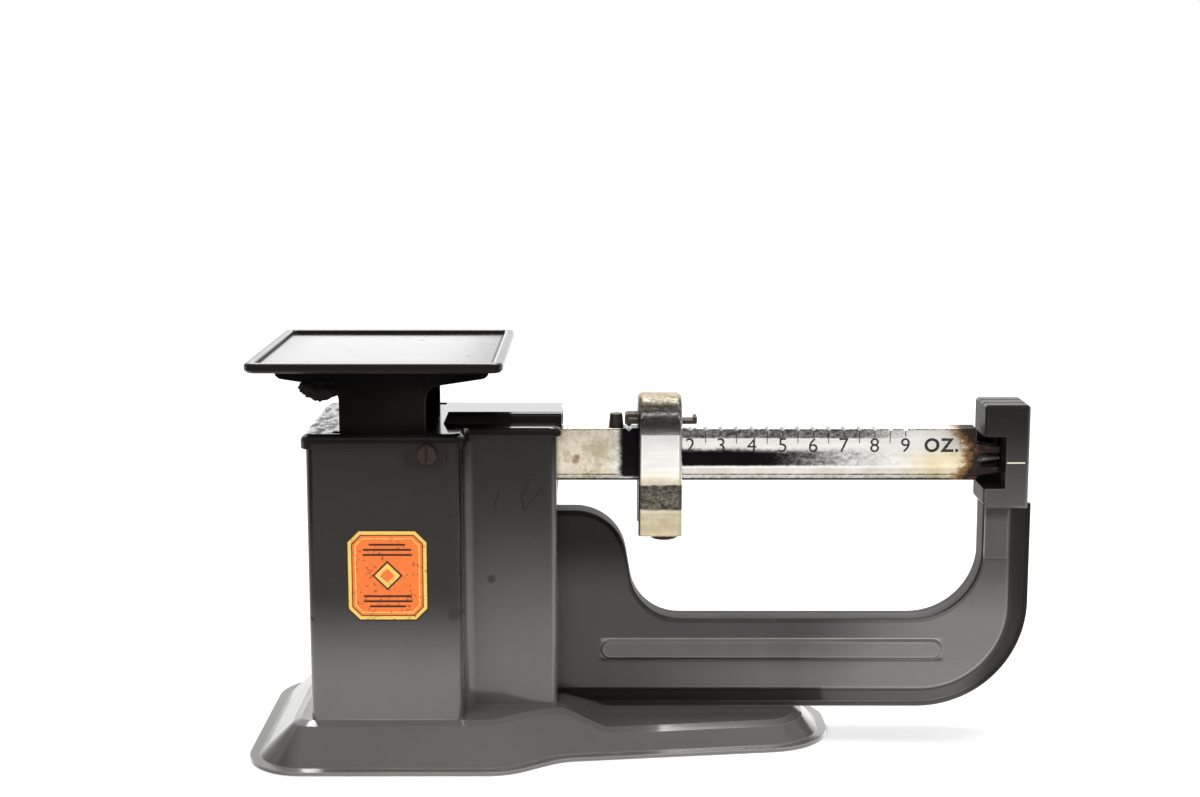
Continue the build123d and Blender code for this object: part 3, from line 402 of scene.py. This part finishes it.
# Cover: a lid pressed from sheet steel with a raised tunnel over the beam, held on the housing by
# a screw on each side. It is black and glossier than the rest, and its left end has blotched.
_, _, (_, TUNNEL_TOP) = reach("cover")
TUNNEL_RISE = 2.7
COVER_TOP = TUNNEL_TOP - TUNNEL_RISE
BLACK = (0.003, 0.0022, 0.002)


def hardly_worn(w):
    """Faint clouds, on the parts that have stayed black."""
    return grain(w, 20).ramp(0.3, 0.9) * 0.06


def cover_marks(w):
    """The cover's sides are duller than its top, whose left end is blotched where paint has lifted."""
    along, _, up = axes(w)
    sides = (up - COVER_TOP).ramp(-0.5, -1.1) * 0.8
    on_top = (up - COVER_TOP).ramp(-0.7, -0.2)
    lifted = grain(w, 2.6, 5, stretch=(1, 0.4, 1), rough=0.7).ramp(0.46, 0.56)
    return sides.largest(lifted * along.ramp(-73, -79) * on_top * 0.95)


paint(["cover"], enamel("cover_enamel", hardly_worn, gloss=0.1, stain=0.12, marks=cover_marks,
                        body_ior=1.2, coat=(0.9, 0), body=BLACK, ripple=0.03))


# Tray and saddle: a square pressed tray with a raised rim, on a bent saddle whose two legs go down
# into the housing and hang on the beam's knife. Both are black, the tray glossy, the saddle dull.
(TRAY_LEFT, TRAY_RIGHT), _, (_, TRAY_TOP) = reach("tray")
TRAY_RIM = 2.6
TRAY_X = 0.5 * (TRAY_LEFT + TRAY_RIGHT)
FLOOR_HALF = 0.5 * (TRAY_RIGHT - TRAY_LEFT) - TRAY_RIM


def tray_marks(w):
    """Dirt in the corner between the tray's floor and its rim, dull rims and a few dark specks."""
    along, across, up = axes(w)
    past_side = abs(along - TRAY_X) - FLOOR_HALF
    past_floor = past_side.largest(abs(across) - FLOOR_HALF)
    inside = (up - TRAY_TOP).ramp(-0.1, -0.4)
    corner = past_floor.ramp(-1.5, 0) * past_floor.ramp(0.9, 0.3) * inside
    dusty = (past_floor.ramp(-11.8, 0.2) * 0.2 + along.ramp(-58, -38) * 0.25) * inside
    specks = grain(w, 1.9, 3, stretch=(0.45, 1, 1), offset=11.0).ramp(0.69, 0.73) * 0.8
    side_rims = past_side.ramp(0.4, 1.2) * 0.5
    front_rim = (across + FLOOR_HALF).ramp(-1.8, -2.4)
    return corner.largest(dusty, specks, side_rims, front_rim)


paint(["tray"], enamel("tray_enamel", hardly_worn, gloss=0.1, stain=0.05, marks=tray_marks,
                       body_ior=1.2, coat=(1, 0), body=BLACK))
paint(["tray_saddle"], enamel("saddle_enamel", hardly_worn, gloss=0.5, stain=0.1,
                              body_ior=1.05, coat=(0, 0), body=BLACK, ripple=0.05))


# Lump on the saddle: a ragged clot of old black filler, pressed by hand on the front edge of one
# of the saddle's wings and set hard.
LUMP_AT = (-80.6, -20.0, 94.0)
LUMP_HALF_LONG = 5.2
LUMP_HALF_THICK = 1.8
LUMP_HALF_TALL = 2.7
clot = bmesh.new()
bmesh.ops.create_icosphere(clot, subdivisions=4, radius=1.0)
for vertex in clot.verts:
    x, y, z = vertex.co
    swell = 1 + 0.3 * noise.fractal(vertex.co * 1.3, 0.9, 2.1, 5)
    swell += 0.16 * noise.fractal(vertex.co * 5.0, 0.6, 2.0, 4)
    tuck = 1 - 0.35 * max(0.0, x) * (z < 0)
    ragged = Vector((x * LUMP_HALF_LONG, y * LUMP_HALF_THICK, z * LUMP_HALF_TALL * tuck)) * swell
    vertex.co = ragged * MM + Vector(LUMP_AT) * MM
mesh = bpy.data.meshes.new("saddle_lump")
clot.to_mesh(mesh)
mesh.shade_smooth()
saddle_lump = bpy.data.objects.new("saddle_lump", mesh)
bpy.context.scene.collection.objects.link(saddle_lump)
mesh.materials.append(enamel("black_filler", hardly_worn, gloss=0.6, stain=0.4, body_ior=1.2,
                             coat=(0, 0), body=BLACK, ripple=0.08))
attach(saddle_lump, "tray_carrier")


# Beam: an inverted channel pressed from steel strip, with notches filed along its top edge and a
# forked end that has rusted in the head. Its nickel plate was polished bright once, and has
# yellowed, with brown tarnish, and black pits where it has gone. Dark bands along its face are
# painted reflections, mottled like tarnish, with painted shade by the poise and on its lower edge.
_, (BEAM_FACE, _), (BEAM_LOW, BEAM_HIGH) = reach("beam")
NICKEL = (0.97, 0.95, 0.91)
NICKEL_YELLOW = (0.90, 0.78, 0.50)
NICKEL_DULL = (0.48, 0.40, 0.27)
NICKEL_PIT = (0.07, 0.05, 0.035)
TARNISH_AND_SHADE = (0.006, 0.005, 0.006)
SCORCHED = (0.24, 0.125, 0.045)
RUST = (0.085, 0.032, 0.016)
RUST_DARK = (0.012, 0.006, 0.004)
RUST_MIDDLE = 73.6


def plate(name, yellow, dull, black, rust):
    """Aged nickel: wires for how yellow, how dull, how black and how rusted each place is, 0 to 1."""
    material, w = new_finish(name)
    yellow, dull, black, rust = [part(w) for part in (yellow, dull, black, rust)]
    pits = grain(w, 0.5, 3, rough=0.6).ramp(0.72, 0.76)
    film = grain(w, 5, 4, rough=0.6).ramp(0.3, 0.7)
    drawn = grain(w, 1.2, 4, stretch=(0.06, 1, 1), offset=5.0).ramp(0.25, 0.75)
    speck = grain(w, 0.9, 5, offset=8.0, stretch=(0.6, 1, 1), rough=0.8) - 0.5
    tone = (yellow * (0.7 + film * 0.3)).mix(NICKEL, NICKEL_YELLOW)
    tone = (dull * (0.6 + film * 0.4) + drawn * 0.04).mix(tone, NICKEL_DULL)
    partly = black * (1 - black) * 4
    burnt = (black + speck * partly * 1.3).ramp(0.0, 0.95)
    # Black: tarnish, and on the beam and the poise also painted reflections of dark things and painted
    # shade.
    tone = burnt.mix(tone, TARNISH_AND_SHADE)
    tone = (pits * 0.5 * (1 - burnt)).mix(tone, NICKEL_PIT)
    eaten = rust + speck * rust.ramp(0, 0.25) * 1.1
    scale = eaten.ramp(0.45, 0.8)
    crust = grain(w, 1.6, 4, offset=3.0, rough=0.6).ramp(0.5, 0.7).mix(RUST_DARK, RUST)
    tone = scale.mix(eaten.ramp(0.05, 0.55).mix(tone, SCORCHED), crust)
    rough = 0.15 + film * 0.04 + dull * 0.1 + drawn * 0.04 + pits * 0.2 + scale * 0.5
    height = film * 0.2 + drawn * 0.1 + pits * -0.5 + scale * grain(w, 0.5, 3) * 1.4
    finish(w, Base_Color=tone, Roughness=rough, Metallic=0.97 - scale * 0.85 - dull * 0.2,
           Normal=bumps(w, height, 0.005))
    return material


def beam_yellow(w):
    """Yellow left of the stud, and low down towards the forked end."""
    along, _, up = axes(w)
    return (along.ramp(-4, -12) * 0.6).largest(along.ramp(62, 76) * up.ramp(76.5, 73))


def beam_dull(w):
    """Duller at both ends, in blotches, under the stain and along the top."""
    along, _, up = axes(w)
    blotch = grain(w, 3.5, 5, offset=6.0, rough=0.66).ramp(0.38, 0.62)
    left = along.ramp(-4, -9) * (0.25 + blotch * 0.6)
    right = along.ramp(70, 80) * up.ramp(73, 76) * 0.5
    low = (up - BEAM_LOW).ramp(3.5, 2.9) * 0.45
    top = (up - BEAM_HIGH).ramp(-0.25, -0.1) * 0.4
    return left.largest(right, low, top)


def beam_black(w):
    """Dark bands painted as reflections and mottled like tarnish, a strip under the notches and a broad
    one along the middle; a painted shadow and reflection of the poise by its left side; a dark line at
    the lower fold, and painted shade on the lower edge.
    """
    along, _, up = axes(w)
    above = up - BEAM_LOW
    wave = grain(w, 7, 3, stretch=(0.35, 1, 1), offset=1.0) * 1.6 - 0.8
    strip = above.ramp(10.8, 11.3) * above.ramp(13.5, 13.2) * along.ramp(76, 52) * 0.68
    stain = (above + wave).ramp(9.3, 6.9) * above.ramp(3.3, 4.2) * along.ramp(78, 22)
    right_of_stud = along.ramp(-7.5, -5.5)
    poise_shade = (along + wave).ramp(-8.2, -5.4) * along.ramp(4, 1) * above.ramp(0.1, 1.5)
    crease = above.ramp(1.2, 1.45) * above.ramp(1.9, 1.65) * 0.6
    lower_edge = above.ramp(1.3, 1.0) * 0.36 + above.ramp(0.7, 0.4) * 0.6
    return (strip.largest(stain) * right_of_stud).largest(poise_shade, crease, lower_edge)


def beam_rust(w):
    """Rust that thickens to the forked end, and a few brown spots by the housing."""
    along, _, up = axes(w)
    spots = grain(w, 4, 3, offset=2.0).ramp(0.62, 0.72) * along.ramp(-6, -9) * 0.35
    away = abs(up - RUST_MIDDLE).ramp(2.0, 7.0) * 3.0
    return (along + away).ramp(78.5, 88.0).largest(spots)


paint(["beam"], plate("beam_nickel", beam_yellow, beam_dull, beam_black, beam_rust))


# Poise strap: a nickel plated steel strap, bent over the beam round an iron weight. It has black
# painted reflections, mottled like tarnish, in a band below the beam and round its shoulder, and
# it is yellow at its foot, where fingers push it.
(STRAP_LEFT, _), _, (STRAP_FOOT, _) = reach("poise_strap")


def poise_yellow(w):
    """Yellow at the foot, low on the bright part and on top."""
    _, _, up = axes(w)
    return up.ramp(62, 59).largest(up.ramp(73, 67) * 0.7, up.ramp(86.0, 87.6) * 0.9)


def poise_dull(w):
    """Dull on top, at the foot and low on the bright part."""
    _, _, up = axes(w)
    return up.ramp(85.6, 87.6).largest(up.ramp(61, 59.5) * 0.95, up.ramp(70, 67.6) * 0.6)


def poise_black(w):
    """Painted reflections of dark things, mottled like tarnish: round the shoulder, darkest just below
    its top, and in a band below the beam; and the strap's left edge.
    """
    along, _, up = axes(w)
    wavy = up + (grain(w, 9, 2, offset=1.0) - 0.5)
    shoulder = up.ramp(80.8, 83.0) * (0.52 + up.ramp(86.4, 87.2) * 0.22 - up.ramp(88.4, 89.5) * 0.36)
    band = wavy.ramp(60.2, 61.2) * wavy.ramp(67.6, 66.9) * 0.73
    return shoulder.largest(band, (along - STRAP_LEFT).ramp(0.45, 0.15))


def poise_rust(w):
    """A little, on the cut ends at the strap's foot."""
    _, _, up = axes(w)
    return (up - STRAP_FOOT).ramp(0.6, 0.0) * 0.4


paint(["poise_strap"], plate("poise_nickel", poise_yellow, poise_dull, poise_black, poise_rust))


# Bare steel, iron and brass, inside the housing and on the poise: mild steel gone dull and spotted,
# sand-cast iron painted black, turned brass dulled brown, and screws and rivets that have rusted.
def metal(name, tone, spotted, rough=0.35, cast=0.0, metallic=0.9):
    """A plain metal: its colour, the colour of its spots, its gloss and how coarsely it is cast."""
    material, w = new_finish(name)
    spots = grain(w, 1.4, 4, rough=0.7).ramp(0.5, 0.68)
    cloud = grain(w, 7, 3).ramp(0.3, 0.75)
    colour = (spots * 0.7 + cloud * 0.2).mix(tone, spotted)
    height = grain(w, 0.7, 3) * (0.4 + cast) + spots * 0.5
    finish(w, Base_Color=colour, Roughness=rough + spots * 0.25 + cloud * 0.1,
           Metallic=metallic - spots * 0.5, Normal=bumps(w, height, 0.02 + 0.06 * cast))
    return material


STEEL = ["arm_end_block", "fulcrum_stand", "fulcrum_bearings", "anchor_pin", "beam_pointer",
         "fulcrum_knife", "load_knife", "balance_screw", "load_bearings", "stirrup",
         "check_pin", "check_link", "pawl_rivet"]
RUSTY = ["housing_screws", "cover_screws", "arm_screws", "stand_screws", "stirrup_rivets"]
IRON = ["counterweight", "poise_weight"]
paint(STEEL, metal("dull_steel", (0.42, 0.40, 0.37), (0.16, 0.09, 0.05)))
paint(["poise_pawl"], metal("pawl_steel", (0.06, 0.045, 0.035), (0.10, 0.04, 0.018), 0.45, metallic=0.7))
paint(IRON, metal("black_iron", (0.03, 0.03, 0.03), (0.06, 0.035, 0.02), 0.6, 1.0, 0.4))
paint(["balance_nut"], metal("old_brass", (0.42, 0.30, 0.13), (0.12, 0.07, 0.03), 0.3))
paint(["poise_plug"], metal("black_brass", (0.05, 0.035, 0.02), (0.02, 0.012, 0.008), 0.4))
paint(["stop_stud"], metal("dark_stud", (0.11, 0.095, 0.07), (0.03, 0.022, 0.016), 0.3))
paint(RUSTY, metal("rusty_screw", (0.034, 0.018, 0.014), (0.010, 0.006, 0.004), 0.4, 1.0, 0.3))


# Ounce marks and numerals: struck into the front of the beam and filled with black,
# a short mark at each ounce and a longer one at each half, with the unit at the end.
ZERO_X = -4.35
OUNCE = 7.9375
OUNCES = 9
NUMERAL_LOW = 74.5
NUMERAL_TALL = 3.7
LETTER_GAP = 1.15
LETTER_DEEP = 0.03
UNIT_X = 76.4
UNIT_THICKER = 0.03
MARK_TOP = 80.1
MARK_LONG = 3.3
MARK_SHORT = 1.5
MARK_HALF = 0.11
MARK_PROUD = 0.015
MARK_SUNK = 0.1


def joined_piece(name, mesh, material, body):
    """A new object from a mesh, in its place, riding on a body."""
    piece = bpy.data.objects.new(name, mesh)
    bpy.context.scene.collection.objects.link(piece)
    mesh.materials.clear()
    mesh.materials.append(material)
    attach(piece, body)


def box_in(bm, x0, x1, y0, y1, z0, z1):
    """Adds a block to a bmesh, by its faces in millimetres."""
    middle = Vector((x0 + x1, y0 + y1, z0 + z1)) * 0.5 * MM
    size = Matrix.Diagonal(((x1 - x0) * MM, (y1 - y0) * MM, (z1 - z0) * MM, 1))
    bmesh.ops.create_cube(bm, size=1, matrix=Matrix.Translation(middle) @ size)


def lettering(name, text, x, thicker=0.0):
    """Letters of the numerals' height, centred at x on the beam's face, as a mesh in place."""
    curve = bpy.data.curves.new(name, "FONT")
    curve.body = text
    curve.align_x = "CENTER"
    curve.offset = thicker
    curve.space_character = LETTER_GAP
    curve.extrude = 0.5
    holder = bpy.data.objects.new(name, curve)
    bpy.context.scene.collection.objects.link(holder)
    mesh = bpy.data.meshes.new_from_object(holder.evaluated_get(bpy.context.evaluated_depsgraph_get()))
    bpy.data.objects.remove(holder)
    left, right = min(v.co.x for v in mesh.vertices), max(v.co.x for v in mesh.vertices)
    foot, top = min(v.co.y for v in mesh.vertices), max(v.co.y for v in mesh.vertices)
    size = NUMERAL_TALL / (top - foot)
    upright = Matrix.Rotation(0.5 * math.pi, 4, "X")
    mesh.transform(Matrix.Translation((-0.5 * (left + right), -foot, 0)))
    mesh.transform(Matrix.Diagonal((size * MM, size * MM, LETTER_DEEP * MM, 1)))
    mesh.transform(Matrix.Translation(Vector((x, BEAM_FACE, NUMERAL_LOW)) * MM) @ upright)
    return mesh


black_fill, w = new_finish("black_fill")
crumbs = grain(w, 0.6, 3).ramp(0.45, 0.75)
finish(w, Base_Color=(crumbs * 0.6).mix((0.012, 0.010, 0.009), (0.10, 0.065, 0.04)),
       Roughness=0.45 + crumbs * 0.3)
for ounce in range(1, OUNCES + 1):
    mesh = lettering(f"numeral_{ounce}", str(ounce), ZERO_X + OUNCE * ounce)
    joined_piece(f"numeral_{ounce}", mesh, black_fill, "beam_lever")
unit = lettering("unit", "OZ.", UNIT_X, UNIT_THICKER)
joined_piece("unit_mark", unit, black_fill, "beam_lever")
marks = bmesh.new()
for half_ounces in range(1, 2 * OUNCES + 1):
    x = ZERO_X + 0.5 * OUNCE * half_ounces
    long = MARK_LONG if half_ounces % 2 else MARK_SHORT
    box_in(marks, x - MARK_HALF, x + MARK_HALF, BEAM_FACE - MARK_PROUD, BEAM_FACE + MARK_SUNK,
           MARK_TOP - long, MARK_TOP)
mesh = bpy.data.meshes.new("ounce_marks")
marks.to_mesh(mesh)
joined_piece("ounce_marks", mesh, black_fill, "beam_lever")


# Index line: a thin stroke of white paint on the head, level with the beam's pointer
# when the load and the poise balance.
LINE_LEFT = NOTCH_RIGHT + 0.2
LINE_RIGHT = HEAD_RIGHT - 1.1
LINE_HALF = 0.16
LINE_PROUD = 0.02
LINE_SUNK = 0.3
white_paint, w = new_finish("index_paint")
crumbs = grain(w, 0.5, 3).ramp(0.4, 0.7)
finish(w, Base_Color=(crumbs * 0.5).mix((0.78, 0.76, 0.60), (0.35, 0.32, 0.22)),
       Roughness=0.5 + crumbs * 0.2)
line = bmesh.new()
box_in(line, LINE_LEFT, LINE_RIGHT, HEAD_FACE - LINE_PROUD, HEAD_FACE + LINE_SUNK,
       INDEX_Z - LINE_HALF, INDEX_Z + LINE_HALF)
mesh = bpy.data.meshes.new("index_line")
line.to_mesh(mesh)
joined_piece("index_line", mesh, white_paint, "frame")


# Label: an orange transfer printed in thin layers on the housing's front, with clipped corners, a
# dark rim, a gold border and line, and plain rules round a lozenge. It is flecked with brown.
LABEL_X = -64.8
LABEL_Z = 47.3
LABEL_WIDE = 20.4
LABEL_TALL = 23.4
RIM_THICK = 0.03
LAYER_THICK = 0.05
RULE_THICK = 0.13
RULE_HALF = 0.24
RULES = ((7.9, 9.0), (6.6, 12.0), (5.3, 12.0))  # each how far from the middle, and how long
FLECK = (0.05, 0.03, 0.02)


def printed(name, colour, faded):
    """A printed ink: its colour, the colour it fades to in clouds, and brown flecks."""
    material, w = new_finish(name)
    flecks = grain(w, 0.9, 4, rough=0.7).ramp(0.56, 0.66)
    fade = grain(w, 6, 3, offset=5.0).ramp(0.35, 0.7)
    tone = (flecks * 0.7).mix((fade * 0.3).mix(colour, faded), FLECK)
    finish(w, Base_Color=tone, Roughness=0.4 + flecks * 0.3 + fade * 0.1,
           Normal=bumps(w, flecks, 0.01), IOR=1.33)
    return material


def clipped(bm, wide, tall, clip, depth):
    """A flat eight-sided face about the label's middle, this far in front of the housing."""
    w2, t2 = 0.5 * wide, 0.5 * tall
    half = [(w2 - clip, t2), (w2, t2 - clip), (w2, clip - t2), (w2 - clip, -t2)]
    outline = [(-x, z) for x, z in half] + half[::-1]
    y = HOUSING_FACE - depth
    corners = [bm.verts.new(Vector((LABEL_X + x, y, LABEL_Z + z)) * MM) for x, z in outline]
    face = bm.faces.new(corners)
    face.normal_update()
    return face


def layer(name, wide, tall, clip, level, material, border=0.0):
    """One printed layer of the label: a clipped plate, or only its border where that has a width."""
    depth = RIM_THICK + LAYER_THICK * level
    bm = bmesh.new()
    face = clipped(bm, wide, tall, clip, depth)
    if border:
        bmesh.ops.inset_region(bm, faces=[face], use_boundary=True, use_even_offset=True,
                               thickness=border * MM)
        bmesh.ops.delete(bm, geom=[face], context="FACES")
    back = bmesh.ops.extrude_face_region(bm, geom=list(bm.faces))["geom"]
    back = [part for part in back if isinstance(part, bmesh.types.BMVert)]
    bmesh.ops.translate(bm, verts=back, vec=(0, depth * MM, 0))
    bmesh.ops.recalc_face_normals(bm, faces=bm.faces)
    mesh = bpy.data.meshes.new(name)
    bm.to_mesh(mesh)
    joined_piece(name, mesh, material, "frame")


orange = printed("label_orange", (0.78, 0.165, 0.030), (0.60, 0.14, 0.035))
dark = printed("label_dark", (0.02, 0.016, 0.012), (0.05, 0.03, 0.02))
gold = printed("label_gold", (0.76, 0.49, 0.11), (0.50, 0.33, 0.09))
layer("label_rim", LABEL_WIDE, LABEL_TALL, 3.0, 0, dark)
layer("label_border", LABEL_WIDE - 0.8, LABEL_TALL - 0.8, 2.8, 1, gold, 0.85)
layer("label_ground", LABEL_WIDE - 3.0, LABEL_TALL - 3.0, 2.2, 1, orange)
layer("label_line", LABEL_WIDE - 4.2, LABEL_TALL - 4.2, 1.9, 2, gold, 0.28)
rules = bmesh.new()
for out, long in RULES:
    for z in (LABEL_Z + out, LABEL_Z - out):
        box_in(rules, LABEL_X - 0.5 * long, LABEL_X + 0.5 * long, HOUSING_FACE - RULE_THICK,
               HOUSING_FACE, z - RULE_HALF, z + RULE_HALF)
mesh = bpy.data.meshes.new("label_rules")
rules.to_mesh(mesh)
joined_piece("label_rules", mesh, dark, "frame")
layer("label_lozenge", 7.4, 7.4, 3.6, 2, dark)
layer("label_lozenge_gold", 6.2, 6.2, 3.0, 3, gold)
layer("label_lozenge_core", 3.4, 3.4, 1.6, 4, orange)


# Studio: a white sheet under the scale and white paper behind and above, with the room
# dark in front of it past the sheet, and soft lights overhead and in front.
FLOOR_SIZE = 4.0
SHEET_FRONT = 430
SHEET_SIDE = 270
SHEET_BRIGHT = 1.32
SHADE_LIFT = 0.2
ROOM_DIM = 0.04
WINDOW_BRIGHT = 0.8
PAPER_BRIGHT = 1.42
ROOM_LIGHT = 0.55
WHITE = (1, 1, 1)


def rays(wire):
    """1 where the camera looks straight at it, and 1 where it is mirrored or seen through something."""
    path = wire.add("LightPath")
    glossy, through = path.other("Is Glossy Ray"), path.other("Is Transmission Ray")
    return path.other("Is Camera Ray"), glossy.largest(through)


floor_mesh = bpy.data.meshes.new("floor")
ground = bmesh.new()
bmesh.ops.create_grid(ground, x_segments=1, y_segments=1, size=FLOOR_SIZE)
ground.to_mesh(floor_mesh)
floor = bpy.data.objects.new("floor", floor_mesh)
bpy.context.scene.collection.objects.link(floor)
floor_paint, w = new_finish("floor_paper")
paper = grain(w, 3, 3).ramp(0.2, 0.9)
along, across, _ = axes(w)
ahead = 0 - across
from_middle = w.vector("LENGTH", own_frame(w), out=1) / MM
seen, mirrored = rays(w)
tone = (paper * 0.2).mix((0.90, 0.90, 0.90), (0.86, 0.86, 0.86))
sheet = w.add("BsdfPrincipled", values={"Base Color": tone, "Roughness": 0.9, "Specular IOR Level": 0.0})
lift = w.add("Emission", values={"Color": WHITE, "Strength": seen * SHADE_LIFT})
near = w.add("AddShader", values={0: sheet, 1: lift})
front_end = ahead.ramp(SHEET_FRONT - 15, SHEET_FRONT + 20) * 0.95
side_end = abs(along).ramp(SHEET_SIDE - 50, SHEET_SIDE + 50) * ahead.ramp(0, 60) * 0.9
glow = (SHEET_BRIGHT + from_middle.ramp(220, 100) * 0.15) * (1 - front_end) * (1 - side_end)
far = w.add("Emission", values={"Color": WHITE, "Strength": seen.largest(glow)})
blend = mirrored.largest(seen * from_middle.ramp(170, 300))
w.add("OutputMaterial", values={"Surface": w.add("MixShader", values={0: blend, 1: near, 2: far})})
floor_mesh.materials.append(floor_paint)


def lamp(name, at, towards, wide, tall, power, mirrored):
    """A soft rectangular light, aimed at a point, which glossy surfaces may mirror."""
    light = bpy.data.lights.new(name, "AREA")
    light.shape = "RECTANGLE"
    light.size = wide
    light.size_y = tall
    light.energy = power
    holder = bpy.data.objects.new(name, light)
    holder.location = at
    holder.rotation_euler = (Vector(towards) - Vector(at)).to_track_quat("-Z", "Y").to_euler()
    holder.visible_glossy = mirrored
    bpy.context.scene.collection.objects.link(holder)


lamp("overhead_softbox", (0.12, 0.30, 1.05), (0.02, 0, 0.05), 0.9, 0.28, 10, True)
lamp("front_fill", (-0.2, -0.8, 0.7), (-0.02, 0, 0.05), 0.9, 0.6, 7.5, False)

world = bpy.data.worlds.new("paper_room")
bpy.context.scene.world = world
world.use_nodes = True
world.node_tree.nodes.clear()
w = Wire(world.node_tree)
split = w.add("SeparateXYZ", values={"Vector": w.add("TexCoord")})
sideways, back, height = [split.other(i) for i in range(3)]
seen, mirrored = rays(w)
window = abs(back * 0.83 + height * 0.56).ramp(0.12, 0.05) * height.ramp(0.0, 0.2)
behind = (back - height * 0.16).ramp(-0.05, 0.05) * (1 - abs(sideways).ramp(0.55, 0.85) * 0.75)
room = ROOM_DIM + window * WINDOW_BRIGHT + behind * PAPER_BRIGHT
strength = seen.largest(mirrored * room, (1 - mirrored) * ROOM_LIGHT)
surface = w.add("Background", values={"Color": WHITE, "Strength": strength})
w.add("OutputWorld", values={"Surface": surface})
